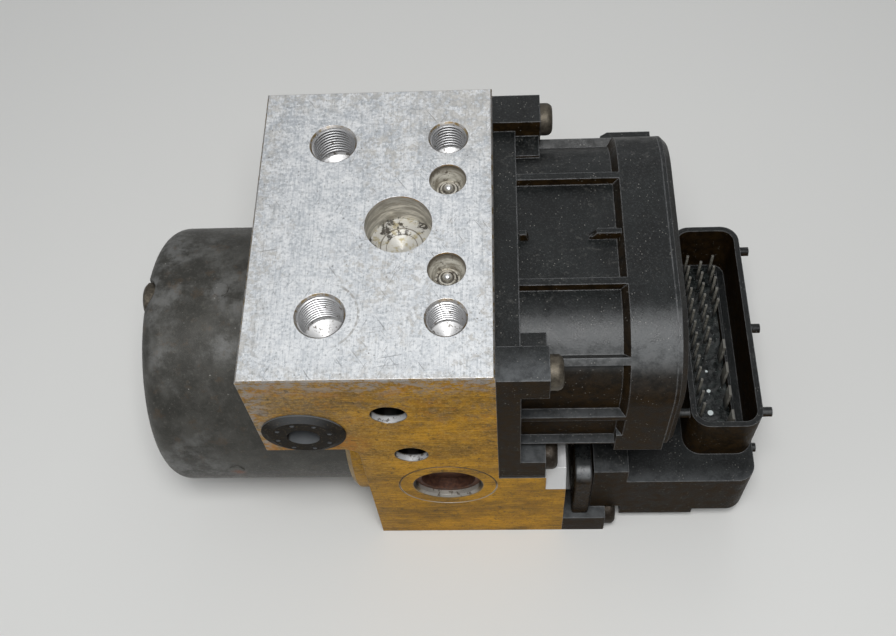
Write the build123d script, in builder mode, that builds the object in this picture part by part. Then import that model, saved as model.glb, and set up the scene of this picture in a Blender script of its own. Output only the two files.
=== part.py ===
from build123d import *
from math import cos, radians, sin
import os

# Hydraulic modulator of an anti-lock brake system, in millimetres. X runs along the motor shaft from
# the motor to the electronics, Y runs from front to rear and Z is up. The origin is on the base face,
# below the point where the pump axis crosses the motor shaft. "front" is -Y and "rear" is +Y.

os.makedirs("parts", exist_ok=True)

# ---- general fits ----
fit_gap = 0.03  # radial gap of a pressed or seated round piece
running_gap = 0.05  # radial gap of a turning or sliding piece
loose_gap = 0.3  # gap where a piece passes another without touching

# ---- valve block ----
block_height = 100.0
block_depth = 83.8
motor_side = 21.4  # from the pump axis to the face behind the motor
coil_side = 13.75  # from the pump axis to the face that carries the valves
overhang_length = 23.1  # the head stands out this far over the motor
overhang_z = 61.9
overhang_fillet = 4.0
shelf_length = 18.0
shelf_z = 41.2
ramp_width = 5.45  # ramps milled into both corners of the shelf
ramp_depth = 2.9
ramp_drop = 8.2
block_edge = 0.4  # broken edge around the top face

# ---- motor and pump axes ----
shaft_z = 36.5
boss_margin = 2.9  # the boss stands out this far around the motor pot
boss_length = 5.4
boss_edge = 1.4  # chamfer around the boss, below the head
arch_gap = 1.2  # around the motor pot, under the head
pot_radius = 36.3
pot_length = 53.2
pot_wall = 2.2
pot_corner = 6.0

# ---- bearings, shaft and eccentric ----
shaft_radius = 4.0
bearing_radius = 11.0
bearing_width = 7.0
bearing_inset = 2.0
bush_radius = 6.5
bush_length = 5.8
bush_housing_wall = 1.6
shaft_end_gap = 0.5
shaft_collar_radius = 6.0
eccentric_offset = 1.0
eccentric_step = 0.3  # step down from the low side of the eccentric to the shaft
eccentric_length = 16.0
ring_radius = 8.0
ring_length = 12.0
chamber_radius = 10.0
chamber_end_gap = 1.5

# ---- armature ----
air_gap = 0.9  # between the magnets and the stack
core_inset = 11.3  # from the floor of the pot to the stack
slot_count = 12
slot_inner = 13.0
slot_lip = 2.0  # iron outside the slots
slot_width = 3.6
slot_mouth = 1.4
end_turn_inner = 9.0
end_turn_inset = 2.6  # from the outside of the stack to the end turns
rear_turns = 4.5
front_turns = 3.5
commutator_radius = 9.5
commutator_length = 7.0
commutator_gap = 0.5  # between the commutator and the windings
commutator_clear = 0.5  # between the commutator and the brush plate's face
segment_count = 12
segment_cut = 0.5

# ---- magnets, brushes and brush plate ----
magnet_thickness = 6.6
magnet_span = 124.0  # degrees
magnet_inset = 7.0  # from the closed end of the pot to the magnets
magnet_gap = 8.0  # from the magnets to the boss face
plate_thickness = 2.0
plate_bore = 11.5
brush_width = 5.0
brush_depth = 4.0
brush_length = 9.5
brush_wall = 1.2
brush_spring_length = 5.0
brush_wire = 0.4
brush_contact_gap = 0.1

# ---- motor bolts and seal ----
bolt_inset = 4.1  # from the inside of the pot to the bolts
bolt_radius = 2.5
bolt_head_radius = 4.9
bolt_head_height = 3.6
bolt_head_edge = 0.7
bolt_seat_depth = 3.7
bolt_pocket_radius = 5.9
bolt_thread = 12.0
bolt_socket = 2.2
bolt_socket_depth = 1.8
seal_width = 1.5
seal_height = 1.2
seal_inset = 0.3  # from the inside of the pot to the inside of the seal
dimple_radius = 2.1
dimple_height = 0.3
dimple_x = 31.7  # from the boss face
dimple_turns = (0, 90, 180)  # degrees, at the rear, top and front
dimple_turn = 1.1  # degrees, from square to the block

# ---- lead from the brushes to the electronics ----
lead_rise = 8.5  # from the lower motor bolt up to the lead
lead_radius = 4.0
lead_gap = 0.1

# ---- pump ----
plug_bore_radius = 8.8
plug_bore_depth = 12.0
plug_mouth = 0.8
plug_recess = 2.0
plug_cup_radius = 7.3
plug_cup_depth = 3.0
sleeve_radius = 6.0
piston_radius = 3.25
piston_length = 12.9
piston_clear = 0.1  # beyond the farthest reach of the eccentric ring
sleeve_start = 10.5
stake_radius = 13.35
stake_width = 0.4
stake_depth = 0.3
pump_wire = 0.35

# ---- accumulators in the base ----
accumulator_x = 10.0
accumulator_inset = 19.9  # from the block's front and rear faces
accumulator_radius = 9.5
accumulator_depth = 24.0
accumulator_cap_thickness = 2.5
accumulator_cap_recess = 0.6
accumulator_piston_length = 7.5
accumulator_top_gap = 0.5
accumulator_skirt = 1.6
accumulator_wire = 0.45

# ---- solenoid valves ----
valve_inset = 17.6  # from the block's front and rear faces to the outer valves
valve_count = 4  # in a row
outlet_row_z = 58.2
inlet_row_z = 74.0
valve_bore_radius = 6.0
valve_bore_depth = 15.75
dome_length = 20.25
dome_wall = 1.4
dome_round = 1.2
plunger_radius = 2.6
plunger_seat = 4.0  # from the bottom of the bore to the seat
plunger_lift = 0.35
plunger_rest_gap = 0.05
plunger_pin_radius = 1.0
plunger_pin_length = 4.0
plunger_length = 23.0
spring_gap = 0.05
valve_wire = 0.4
coil_gap = 0.6  # between neighbouring coils
coil_wall = 2.7
coil_length = 14.0
coil_flange = 1.4

# ---- ports and drillings ----
master_port_x = -26.35
master_port_inset = 16.9  # from the block's front and rear faces
master_port_radius = 5.55
master_port_depth = 11.3
wheel_port_x = 2.7
wheel_port_inset = 15.8
wheel_port_radius = 4.6
wheel_port_depth = 9.7
side_port_inset = 17.9
side_port_z = 76.0
side_port_depth = 10.5
port_mouth = 0.5
port_passage_radius = 1.5
port_passage_depth = 2.5
damper_x = -9.06
damper_radius = 8.2
damper_depth = 9.6
damper_dish_radius = 5.3  # shallow cone in the middle of the chamber's flat bottom
damper_dish_depth = 1.6
stub_pitch = 13.1  # from the wheel port to the plug beside it
stub_radius = 4.6
stub_rim = 1.2  # straight wall above the slope that was crimped over the plug
stub_depth = 4.5
stub_bore_radius = 3.0
stub_bore_depth = 9.6
stub_collar_radius = 2.05
stub_collar_height = 0.6
stub_ball_radius = 1.25
upper_drilling_x = -11.7
upper_drilling_z = 81.8
upper_drilling_radius = 4.45
upper_drilling_depth = 24.0
lower_drilling_x = -8.2
lower_drilling_z = 57.9
lower_drilling_radius = 4.37
lower_drilling_depth = 20.0
drill_point = 0.6  # height of a drill's cone, as a share of its radius
drill_tip_radius = 0.1

# ---- rubber mounts ----
rubber_x = -33.3
rubber_z = 72.5
rubber_flange_radius = 10.3
rubber_flat_radius = 8.0
rubber_stand = 1.3
rubber_rim = 0.4  # height of the straight edge of the flange
rubber_bore_radius = 7.5
rubber_bore_depth = 9.0
rubber_end_gap = 0.2
rubber_hole_radius = 4.0
rubber_hole_depth = 6.0
pip_count = 8
pip_radius = 0.6
pip_circle = 6.8
pip_depth = 1.6
pip_turn = 15.0  # degrees

# ---- coil housing ----
flange_thickness = 5.75
flange_bottom = 43.0
flange_top = 95.0
body_inset = 3.7  # from the block's front and rear faces to the band
body_bottom = 45.5
body_top = 95.7
body_shoulder = 19.0
body_foot = 12.0
panel_depth = 2.5
housing_wall = 2.2
band_start = 43.5
band_ramp = 1.5
band_end = 55.8
lid_thickness = 2.5
lid_bevel = 1.5
lid_lip = 2.0
lid_lip_wall = 1.5
rib_size = 1.9
rear_top_rib = 16.4
front_top_rib = -14.4
upper_side_rib = 70.15
lower_side_rib = 54.05
front_corner_rib = 44.0  # degrees up from the front and rear faces
rear_corner_rib = 30.0
lug_width = 8.9
lug_height = 8.9
lug_length = 12.25
upper_lug_z = 94.05
lower_lug_z = 47.45
rear_lug_inset = 1.4
web_width = 6.5
web_height = 14.0
web_top = 93.0
web_reach = 25.6
pad_height = 1.2  # raised pad on the rear of the band, with a ramp at its left end
pad_low = 60.0
pad_high = 84.0
pad_ramp_start = 42.3
pad_ramp = 1.9
pad_margin = 0.3
foot_block_low = 50.9  # square lower corner along the front of the band
foot_block_high = 60.0
foot_block_width = 6.0
mark_height = 1.2  # blank raised pointer moulded on the top panel
mark_length = 6.8
mark_point = 2.3
mark_rear = 1.5
mark_front = -1.0
housing_seal_width = 1.6
housing_seal_depth = 1.1
seal_side_margin = 9.7  # from the outer valves to the outside of the seal
seal_low_margin = 9.4
seal_high_margin = 10.0
housing_seal_corner = 6.0

# ---- housing and control unit screws ----
screw_radius = 2.0
screw_head_radius = 4.15
screw_head_height = 3.2
screw_thread = 8.5
screw_edge = 1.6
screw_socket = 1.9
screw_socket_depth = 1.6
screw_hole_gap = 0.15

# ---- control unit ----
unit_left = 39.5
unit_right = 84.2
unit_inset = 3.6  # from the block's front and rear faces to the control unit
unit_bottom = 4.0
unit_floor = 5.0  # thickness of the floor under the connector
unit_opening_inset = 8.0  # from the front and rear walls to the opening that the cover closes
screw_notch = 4.5  # length of the notches that clear the screw heads
unit_step_x = 69.5
unit_step = 3.0
unit_top = 28.5
unit_wall = 2.2
unit_corner = 5.0
hump_right = 48.9
hump_height = 7.3
unit_lug_height = 9.8
unit_lug_length = 12.25
unit_screw_z = 5.0
unit_screw_thread = 10.0
cover_thickness = 2.5
cover_recess = 0.6
board_thickness = 1.6
board_z = 16.0
board_margin = 0.6
post_radius = 2.5
post_inset = 4.0

# ---- connector shroud and pins ----
shroud_left = 65.2
shroud_front_inset = 8.1  # from the housing's front and rear faces
shroud_rear_inset = 4.7
shroud_height = 18.3
shroud_wall = 1.5
shroud_corner = 5.0
island_height = 1.5
island_margin = 2.0
pin_size = 0.7
pin_tip_z = 40.0
pin_gap = 0.05
pin_pitch = 3.7
column_inset = 5.2  # from the left wall of the shroud to the first column of pins
column_pitch = 3.65
left_pins_inset = 5.6  # from the rear of the shroud to the first pin of the column
left_pins_margin = 9.0  # clear of pins at the front of the shroud
middle_pins_inset = 7.7
middle_pin_count = 8
right_pins_inset = 5.7
right_pin_count = 5
blade_width = 3.0
blade_inset = 35.2  # from the rear of the shroud to the first blade
blade_margin = 5.0  # clear of blades at the front of the shroud
blade_pitch = 7.3
peg_radius = 1.3
peg_length = 2.8
peg_z = 44.0
peg_offset = 0.8  # from the middle of the shroud to the middle peg
peg_pitch = 25.65
lower_peg_drop = 24.0  # from the row of pegs down to the single peg on the housing's right face
partition_x = 79.2
partition_width = 0.8
partition_height = 5.0
partition_margin = 7.0  # from the shroud's front and rear walls

# ---- plug cap beside the control unit and the contact strip under the coil housing ----
cap_left = 34.3
cap_width = 4.8
cap_top = 36.0
cap_inset = 1.6  # from the block's front and rear faces to the cap's ends
cap_round = 0.8  # along the long edges
cap_corner = 4.0  # at the front and rear ends of the top
cap_wall = 1.2
strip_x = 50.5
strip_width = 5.0
strip_half = 20.0

# ---- places worked out from the sizes above ----
half_depth = block_depth / 2
master_port_y = half_depth - master_port_inset
wheel_port_y = half_depth - wheel_port_inset
side_port_y = half_depth - side_port_inset
stub_y = wheel_port_y - stub_pitch
accumulator_y = half_depth - accumulator_inset
body_half = half_depth - body_inset
unit_half = half_depth - unit_inset
cap_half = half_depth - cap_inset
shroud_front = shroud_front_inset - unit_half
shroud_rear = unit_half - shroud_rear_inset
motor_face = -motor_side
head_left = motor_face - overhang_length
boss_face = motor_face - boss_length
foot_right = coil_side + shelf_length
boss_radius = pot_radius + boss_margin
arch_radius = pot_radius + arch_gap
pot_end = boss_face - pot_length
pot_inner = pot_radius - pot_wall
pot_floor = pot_end + pot_wall
bearing_left = boss_face + bearing_inset
bearing_right = bearing_left + bearing_width
chamber_right = eccentric_length / 2 + chamber_end_gap
eccentric_radius = shaft_radius + eccentric_offset + eccentric_step
plate_left = boss_face - plate_thickness
commutator_right = plate_left - commutator_clear
commutator_left = commutator_right - commutator_length
winding_right = commutator_left - commutator_gap
core_right = winding_right - front_turns
core_left = pot_floor + core_inset
core_length = core_right - core_left
winding_left = core_left - rear_turns
magnet_inner = pot_inner - magnet_thickness
core_radius = magnet_inner - air_gap
slot_outer = core_radius - slot_lip
end_turn_outer = core_radius - end_turn_inset
brush_inner = commutator_radius + brush_contact_gap
brush_outer = brush_inner + brush_length
brush_box_end = brush_outer + brush_spring_length
brush_x = (commutator_left + commutator_right) / 2
bolt_circle = pot_inner - bolt_inset
bolt_seat = pot_end + bolt_seat_depth
bolt_zs = (shaft_z + bolt_circle, shaft_z - bolt_circle)
lead_z = bolt_zs[1] + lead_rise
piston_inner = ring_radius + eccentric_offset + piston_clear
piston_outer = piston_inner + piston_length
sleeve_end = half_depth - plug_bore_depth
plug_outer = half_depth - plug_recess
valve_rows = (outlet_row_z, inlet_row_z)
outer_valve_y = half_depth - valve_inset
valve_pitch = 2 * outer_valve_y / (valve_count - 1)
valve_ys = [valve_pitch * i - outer_valve_y for i in range(valve_count)]
valve_spots = [(y, z) for z in valve_rows for y in valve_ys]
coil_radius = (min(valve_pitch, inlet_row_z - outlet_row_z) - coil_gap) / 2
coil_bore_radius = coil_radius - coil_wall
dome_radius = coil_bore_radius - loose_gap
housing_seal_half = valve_ys[-1] + seal_side_margin
housing_seal_low = outlet_row_z - seal_low_margin
housing_seal_high = inlet_row_z + seal_high_margin
valve_bottom = coil_side - valve_bore_depth
dome_end = coil_side + dome_length
seat_x = valve_bottom + plunger_seat
accumulator_bottom = accumulator_cap_recess + accumulator_cap_thickness
accumulator_piston_top = accumulator_depth - accumulator_top_gap
accumulator_piston_bottom = accumulator_piston_top - accumulator_piston_length
flange_right = coil_side + flange_thickness
lug_right = coil_side + lug_length
unit_lug_right = foot_right + unit_lug_length
front_lug_y = -half_depth + lug_width / 2
rear_lug_y = half_depth - rear_lug_inset - lug_width / 2
lug_spots = [(y, z) for y in (front_lug_y, rear_lug_y) for z in (upper_lug_z, lower_lug_z)]
unit_screw_spots = [(y, unit_screw_z) for y in (front_lug_y, -front_lug_y)]
shroud_right = unit_right
shroud_y = (shroud_front + shroud_rear) / 2
shroud_x = (shroud_left + shroud_right) / 2
shroud_depth = shroud_rear - shroud_front
shroud_width = shroud_right - shroud_left
board_left = unit_left + unit_wall + board_margin
board_right = unit_right - unit_wall - board_margin
board_half = unit_half - unit_wall - board_margin
board_top = board_z + board_thickness
roof_z = unit_top - unit_wall
column_xs = [shroud_left + column_inset + column_pitch * column for column in range(3)]
left_pin_count = 1 + int((shroud_depth - left_pins_inset - left_pins_margin) / pin_pitch)
pin_columns = zip(column_xs, (left_pin_count, middle_pin_count, right_pin_count),
                  (left_pins_inset, middle_pins_inset, right_pins_inset))
pin_spots = [(x, shroud_rear - inset - pin_pitch * i) for x, count, inset in pin_columns for i in range(count)]
blade_count = 1 + int((shroud_depth - blade_inset - blade_margin) / blade_pitch)
blade_spots = [(column_xs[-1], shroud_rear - blade_inset - blade_pitch * i) for i in range(blade_count)]
peg_middle_y = shroud_y - peg_offset
peg_ys = [peg_middle_y + peg_pitch * i for i in (1, 0, -1)]


def at_x(x):
    """Plane square to X: sketches read (y, z) and extrude towards +X."""
    return Plane.YZ.offset(x)


def at_y(y):
    """Plane square to Y: sketches read (x, z) and extrude towards -Y."""
    return Plane.XZ.offset(-y)


def at_z(z):
    """Plane square to Z: sketches read (x, y) and extrude towards +Z."""
    return Plane.XY.offset(z)


def facing(origin, normal, across):
    """Plane on a face of the block, with its normal pointing out of the block."""
    return Plane(origin=origin, x_dir=across, z_dir=normal)


top_face = facing((0, 0, block_height), (0, 0, 1), (1, 0, 0))
base_face = facing((0, 0, 0), (0, 0, -1), (1, 0, 0))
coil_face = facing((coil_side, 0, 0), (1, 0, 0), (0, 1, 0))
foot_face = facing((foot_right, 0, 0), (1, 0, 0), (0, 1, 0))
spigot_face = facing((boss_face, 0, 0), (-1, 0, 0), (0, -1, 0))
left_face = facing((head_left, 0, 0), (-1, 0, 0), (0, -1, 0))
front_face = facing((0, -half_depth, 0), (0, -1, 0), (1, 0, 0))
rear_face = facing((0, half_depth, 0), (0, 1, 0), (-1, 0, 0))
sides = {"front": (front_face, 1, -1), "rear": (rear_face, -1, 1)}  # face, sign of local x, sign of y


def save(builder, name):
    """Label the finished piece and write it as its own file."""
    builder.part.label = name
    export_step(builder.part, f"parts/{name}.step")


def drill(face, spots, radius, depth, mouth=0.0):
    """Drill blind holes square to a face, with a cone at the bottom and a chamfer at the mouth."""
    for spot in spots:
        with Locations(face):
            with Locations(spot):
                Hole(radius, depth)
                with Locations((0, 0, -depth)):
                    Cone(drill_tip_radius, radius, drill_point * radius,
                         align=(Align.CENTER, Align.CENTER, Align.MAX), mode=Mode.SUBTRACT)
                if mouth:
                    Cone(radius, radius + mouth, mouth,
                         align=(Align.CENTER, Align.CENTER, Align.MAX), mode=Mode.SUBTRACT)


def bore(face, spots, radius, depth):
    """Cut flat-bottomed round bores square to a face."""
    for spot in spots:
        with Locations(face):
            with Locations(spot):
                Hole(radius, depth)


def rod(plane, spot, radius, length, mode=Mode.ADD):
    """Add or cut a round bar that starts on a plane."""
    with Locations(plane):
        with Locations(spot):
            Cylinder(radius, length, align=(Align.CENTER, Align.CENTER, Align.MIN), mode=mode)


def outward(side, distance):
    """Plane square to Y at a distance from the shaft, looking out through the front or rear face."""
    face, flip, sign = sides[side]
    return Plane(origin=(0, sign * distance, 0), x_dir=(flip, 0, 0), z_dir=(0, sign, 0))


def housing_outline(x, inset):
    """Outline of the coil housing's band, drawn in by an inset."""
    with BuildSketch(at_x(x)) as outline:
        with Locations((0, (body_bottom + body_top) / 2)):
            Rectangle(2 * (body_half - inset), body_top - body_bottom - 2 * inset)
        fillet(outline.vertices().group_by(Axis.Y)[-1], body_shoulder - inset)
        fillet(outline.vertices().group_by(Axis.Y)[0], body_foot - inset)
    return outline.sketch


def seal_ring(inset):
    """Rounded frame around the valves, in the flange of the coil housing."""
    with BuildSketch(at_x(coil_side)) as ring:
        with Locations((0, (housing_seal_low + housing_seal_high) / 2)):
            RectangleRounded(2 * housing_seal_half - 2 * inset,
                             housing_seal_high - housing_seal_low - 2 * inset,
                             housing_seal_corner - inset)
            RectangleRounded(2 * (housing_seal_half - housing_seal_width) + 2 * inset,
                             housing_seal_high - housing_seal_low - 2 * housing_seal_width + 2 * inset,
                             housing_seal_corner - housing_seal_width + inset, mode=Mode.SUBTRACT)
    return ring.sketch


# ==== valve block ====
with BuildPart() as valve_block:
    with BuildSketch(at_y(half_depth)):
        with BuildLine():
            Polyline(
                (head_left, overhang_z),
                (head_left, block_height),
                (coil_side, block_height),
                (coil_side, shelf_z),
                (foot_right, shelf_z),
                (foot_right, 0),
                (motor_face, 0),
                (motor_face, overhang_z),
                close=True,
            )
        make_face()
    extrude(amount=block_depth)
    along_y = valve_block.edges().filter_by(Axis.Y)
    fillet(along_y.sort_by_distance((motor_face, 0, overhang_z))[0], overhang_fillet)
    chamfer(valve_block.faces().sort_by(Axis.Z)[-1].edges(), block_edge)

    # boss that the motor sits on, cut off level with the base, and the arch that clears the pot
    with BuildSketch(at_x(boss_face)):
        with Locations((0, shaft_z)):
            Circle(boss_radius)
        Rectangle(2 * boss_radius, 2 * boss_radius, align=(Align.CENTER, Align.MAX), mode=Mode.SUBTRACT)
    extrude(amount=boss_length)
    with BuildSketch(at_x(head_left)):
        with Locations((0, shaft_z)):
            Circle(arch_radius)
    extrude(amount=overhang_length - boss_length, mode=Mode.SUBTRACT)
    boss_arcs = [edge for edge in valve_block.edges().filter_by(GeomType.CIRCLE)
                 if abs(edge.radius - boss_radius) < fit_gap and abs(edge.center().X - boss_face) < fit_gap]
    chamfer(boss_arcs, boss_edge)

    # ramps milled into both corners of the shelf, beside the lower screw heads
    for sign in (-1, 1):
        with BuildSketch(at_x(foot_right - ramp_width)):
            with BuildLine():
                Polyline(
                    (sign * half_depth, shelf_z - ramp_drop),
                    (sign * (half_depth - ramp_depth), shelf_z),
                    (sign * half_depth, shelf_z),
                    close=True,
                )
            make_face()
        extrude(amount=ramp_width, mode=Mode.SUBTRACT)

    # brake line ports, each with a passage on from its drill point
    master_ports = [(master_port_x, y) for y in (-master_port_y, master_port_y)]
    wheel_ports = [(wheel_port_x, y) for y in (-wheel_port_y, wheel_port_y)]
    side_ports = [(y, side_port_z) for y in (-side_port_y, side_port_y)]
    drill(top_face, master_ports, master_port_radius, master_port_depth, port_mouth)
    drill(top_face, wheel_ports, wheel_port_radius, wheel_port_depth, port_mouth)
    drill(left_face, side_ports, wheel_port_radius, side_port_depth, port_mouth)
    bore(top_face, master_ports, port_passage_radius,
         master_port_depth + drill_point * master_port_radius + port_passage_depth)
    bore(top_face, wheel_ports, port_passage_radius,
         wheel_port_depth + drill_point * wheel_port_radius + port_passage_depth)

    # damper chamber and the two plugged drillings beside it
    bore(top_face, [(damper_x, 0)], damper_radius, damper_depth)
    with Locations(top_face.offset(-damper_depth)):
        with Locations((damper_x, 0)):
            Cone(drill_tip_radius, damper_dish_radius, damper_dish_depth,
                 align=(Align.CENTER, Align.CENTER, Align.MAX), mode=Mode.SUBTRACT)
    stubs = [(wheel_port_x, y) for y in (-stub_y, stub_y)]
    for x, y in stubs:
        with Locations(top_face.offset(-stub_rim)):
            with Locations((x, y)):
                Cone(stub_bore_radius, stub_radius, stub_depth - stub_rim,
                     align=(Align.CENTER, Align.CENTER, Align.MAX), mode=Mode.SUBTRACT)
    bore(top_face, stubs, stub_radius, stub_rim)
    bore(top_face, stubs, stub_bore_radius, stub_bore_depth)

    # front and rear faces: rubber mounts, cross drillings and pump bores
    for face, flip, sign in sides.values():
        bore(face, [(flip * rubber_x, rubber_z)], rubber_bore_radius, rubber_bore_depth)
        drill(face, [(flip * upper_drilling_x, upper_drilling_z)], upper_drilling_radius, upper_drilling_depth)
        drill(face, [(flip * lower_drilling_x, lower_drilling_z)], lower_drilling_radius, lower_drilling_depth)
        drill(face, [(0, shaft_z)], plug_bore_radius, plug_bore_depth - drill_point * plug_bore_radius,
              plug_mouth)
        bore(face, [(0, shaft_z)], plug_bore_radius, plug_bore_depth)
        bore(face, [(0, shaft_z)], sleeve_radius, half_depth)
        with BuildSketch(face):
            with Locations((0, shaft_z)):
                Circle(stake_radius)
                Circle(stake_radius - stake_width, mode=Mode.SUBTRACT)
        extrude(amount=-stake_depth, mode=Mode.SUBTRACT)

    # motor side: bearing seat, eccentric chamber, lead passage, bolts and seal groove
    bore(spigot_face, [(0, shaft_z)], bearing_radius, bearing_right - boss_face)
    bore(spigot_face, [(0, shaft_z)], chamber_radius, chamber_right - boss_face)
    bore(spigot_face, [(0, lead_z)], lead_radius + lead_gap, foot_right - boss_face)
    drill(spigot_face, [(0, z) for z in bolt_zs], bolt_radius, bolt_thread)
    with BuildSketch(spigot_face):
        with Locations((0, shaft_z)):
            Circle(pot_inner + seal_inset + seal_width + 2 * fit_gap)
            Circle(pot_inner + seal_inset, mode=Mode.SUBTRACT)
    extrude(amount=-seal_height, mode=Mode.SUBTRACT)

    # valve side and base
    bore(coil_face, valve_spots, valve_bore_radius, valve_bore_depth)
    drill(coil_face, lug_spots, screw_radius, screw_thread)
    drill(foot_face, unit_screw_spots, screw_radius, unit_screw_thread)
    for y in (-accumulator_y, accumulator_y):
        bore(base_face, [(accumulator_x, y)], accumulator_radius, accumulator_depth)
save(valve_block, "valve_block")

# ==== rubber mounts, in the front and rear faces of the head ====
for side, (face, flip, sign) in sides.items():
    with BuildPart() as rubber_mount:
        spot = (flip * rubber_x, rubber_z)
        rod(face.offset(rubber_end_gap - rubber_bore_depth), spot, rubber_bore_radius - running_gap,
            rubber_bore_depth - rubber_end_gap)
        with Locations(face):
            with Locations(spot):
                Cylinder(rubber_flange_radius, rubber_rim,
                         align=(Align.CENTER, Align.CENTER, Align.MIN))
                with Locations((0, 0, rubber_rim)):
                    Cone(rubber_flange_radius, rubber_flat_radius, rubber_stand - rubber_rim,
                         align=(Align.CENTER, Align.CENTER, Align.MIN))
                with Locations((0, 0, -rubber_hole_depth)):
                    Cone(drill_tip_radius, rubber_hole_radius, drill_point * rubber_hole_radius,
                         align=(Align.CENTER, Align.CENTER, Align.MAX), mode=Mode.SUBTRACT)
                with Locations((0, 0, rubber_stand)):
                    Hole(rubber_hole_radius, rubber_hole_depth + rubber_stand)
                    with PolarLocations(pip_circle, pip_count, start_angle=pip_turn):
                        Hole(pip_radius, pip_depth)
    save(rubber_mount, f"rubber_mount_{side}")

# ==== plugs in the two stub drillings of the top face ====
for side, (face, flip, sign) in sides.items():
    with BuildPart() as stub_plug:
        spot = (wheel_port_x, sign * stub_y)
        plug_top = block_height - stub_depth
        rod(at_z(block_height - stub_bore_depth), spot, stub_bore_radius - fit_gap,
            stub_bore_depth - stub_depth)
        rod(at_z(plug_top), spot, stub_collar_radius, stub_collar_height)
        with Locations((*spot, plug_top + stub_collar_height)):
            Sphere(stub_ball_radius)
    save(stub_plug, f"stub_plug_{side}")

# ==== pump: plug, sleeve, piston and spring at the front and at the rear ====
for side in sides:
    with BuildPart() as pump_plug:
        rod(outward(side, sleeve_end), (0, shaft_z), plug_bore_radius - fit_gap, plug_outer - sleeve_end)
        rod(outward(side, plug_outer - plug_cup_depth), (0, shaft_z), plug_cup_radius, plug_cup_depth,
            mode=Mode.SUBTRACT)
    save(pump_plug, f"pump_plug_{side}")

    with BuildPart() as pump_sleeve:
        rod(outward(side, sleeve_start), (0, shaft_z), sleeve_radius - fit_gap, sleeve_end - sleeve_start)
        rod(outward(side, sleeve_start), (0, shaft_z), piston_radius + running_gap,
            sleeve_end - sleeve_start, mode=Mode.SUBTRACT)
    save(pump_sleeve, f"pump_sleeve_{side}")

    with BuildPart() as pump_piston:
        rod(outward(side, piston_inner), (0, shaft_z), piston_radius, piston_length)
    save(pump_piston, f"pump_piston_{side}")

    with BuildPart() as pump_spring:
        rod(outward(side, piston_outer), (0, shaft_z), piston_radius - spring_gap, sleeve_end - piston_outer)
        rod(outward(side, piston_outer), (0, shaft_z), piston_radius - spring_gap - 2 * pump_wire,
            sleeve_end - piston_outer, mode=Mode.SUBTRACT)
    save(pump_spring, f"pump_spring_{side}")

# ==== motor shaft with its eccentric, and the needle ring that turns on it ====
with BuildPart() as armature_shaft:
    rod(at_x(pot_floor + shaft_end_gap), (0, shaft_z), shaft_radius,
        -eccentric_length / 2 - pot_floor - shaft_end_gap)
    rod(at_x(commutator_right), (0, shaft_z), shaft_collar_radius, bearing_left - commutator_right)
    rod(at_x(-eccentric_length / 2), (0, shaft_z + eccentric_offset), eccentric_radius, eccentric_length)
save(armature_shaft, "armature_shaft")

with BuildPart() as eccentric_ring:
    rod(at_x(-ring_length / 2), (0, shaft_z + eccentric_offset), ring_radius, ring_length)
    rod(at_x(-ring_length / 2), (0, shaft_z + eccentric_offset), eccentric_radius + running_gap,
        ring_length, mode=Mode.SUBTRACT)
save(eccentric_ring, "eccentric_ring")

with BuildPart() as front_bearing:
    rod(at_x(bearing_left), (0, shaft_z), bearing_radius - fit_gap, bearing_width)
    rod(at_x(bearing_left), (0, shaft_z), shaft_radius + running_gap, bearing_width, mode=Mode.SUBTRACT)
save(front_bearing, "front_bearing")

with BuildPart() as rear_bush:
    rod(at_x(pot_floor), (0, shaft_z), bush_radius - fit_gap, bush_length)
    rod(at_x(pot_floor), (0, shaft_z), shaft_radius + running_gap, bush_length, mode=Mode.SUBTRACT)
save(rear_bush, "rear_bush")

# ==== armature ====
with BuildPart() as armature_core:
    with BuildSketch(at_x(core_left)):
        with Locations((0, shaft_z)):
            Circle(core_radius)
            Circle(shaft_radius + fit_gap, mode=Mode.SUBTRACT)
            with PolarLocations(slot_inner, slot_count):
                Rectangle(slot_outer - slot_inner, slot_width, align=(Align.MIN, Align.CENTER),
                          mode=Mode.SUBTRACT)
            with PolarLocations(slot_outer - slot_mouth, slot_count):
                Rectangle(core_radius - slot_outer + 2 * slot_mouth, slot_mouth,
                          align=(Align.MIN, Align.CENTER), mode=Mode.SUBTRACT)
    extrude(amount=core_length)
save(armature_core, "armature_core")

with BuildPart() as armature_winding:
    with BuildSketch(at_x(winding_left), at_x(core_right)):
        with Locations((0, shaft_z)):
            Circle(end_turn_outer)
            Circle(end_turn_inner, mode=Mode.SUBTRACT)
    extrude(amount=front_turns)
    with BuildSketch(at_x(core_left - rear_turns + front_turns)):
        with Locations((0, shaft_z)):
            Circle(end_turn_outer)
            Circle(end_turn_inner, mode=Mode.SUBTRACT)
    extrude(amount=rear_turns - front_turns)
    with BuildSketch(at_x(core_left)):
        with Locations((0, shaft_z)):
            with PolarLocations(slot_inner + loose_gap, slot_count):
                Rectangle(slot_outer - slot_inner - 2 * loose_gap, slot_width - loose_gap,
                          align=(Align.MIN, Align.CENTER))
    extrude(amount=core_length)
save(armature_winding, "armature_winding")

with BuildPart() as commutator:
    with BuildSketch(at_x(commutator_left)):
        with Locations((0, shaft_z)):
            Circle(commutator_radius)
            Circle(shaft_radius + fit_gap, mode=Mode.SUBTRACT)
            with PolarLocations(commutator_radius - 2 * segment_cut, segment_count):
                Rectangle(3 * segment_cut, segment_cut, align=(Align.MIN, Align.CENTER), mode=Mode.SUBTRACT)
    extrude(amount=commutator_length)
save(commutator, "commutator")

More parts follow.
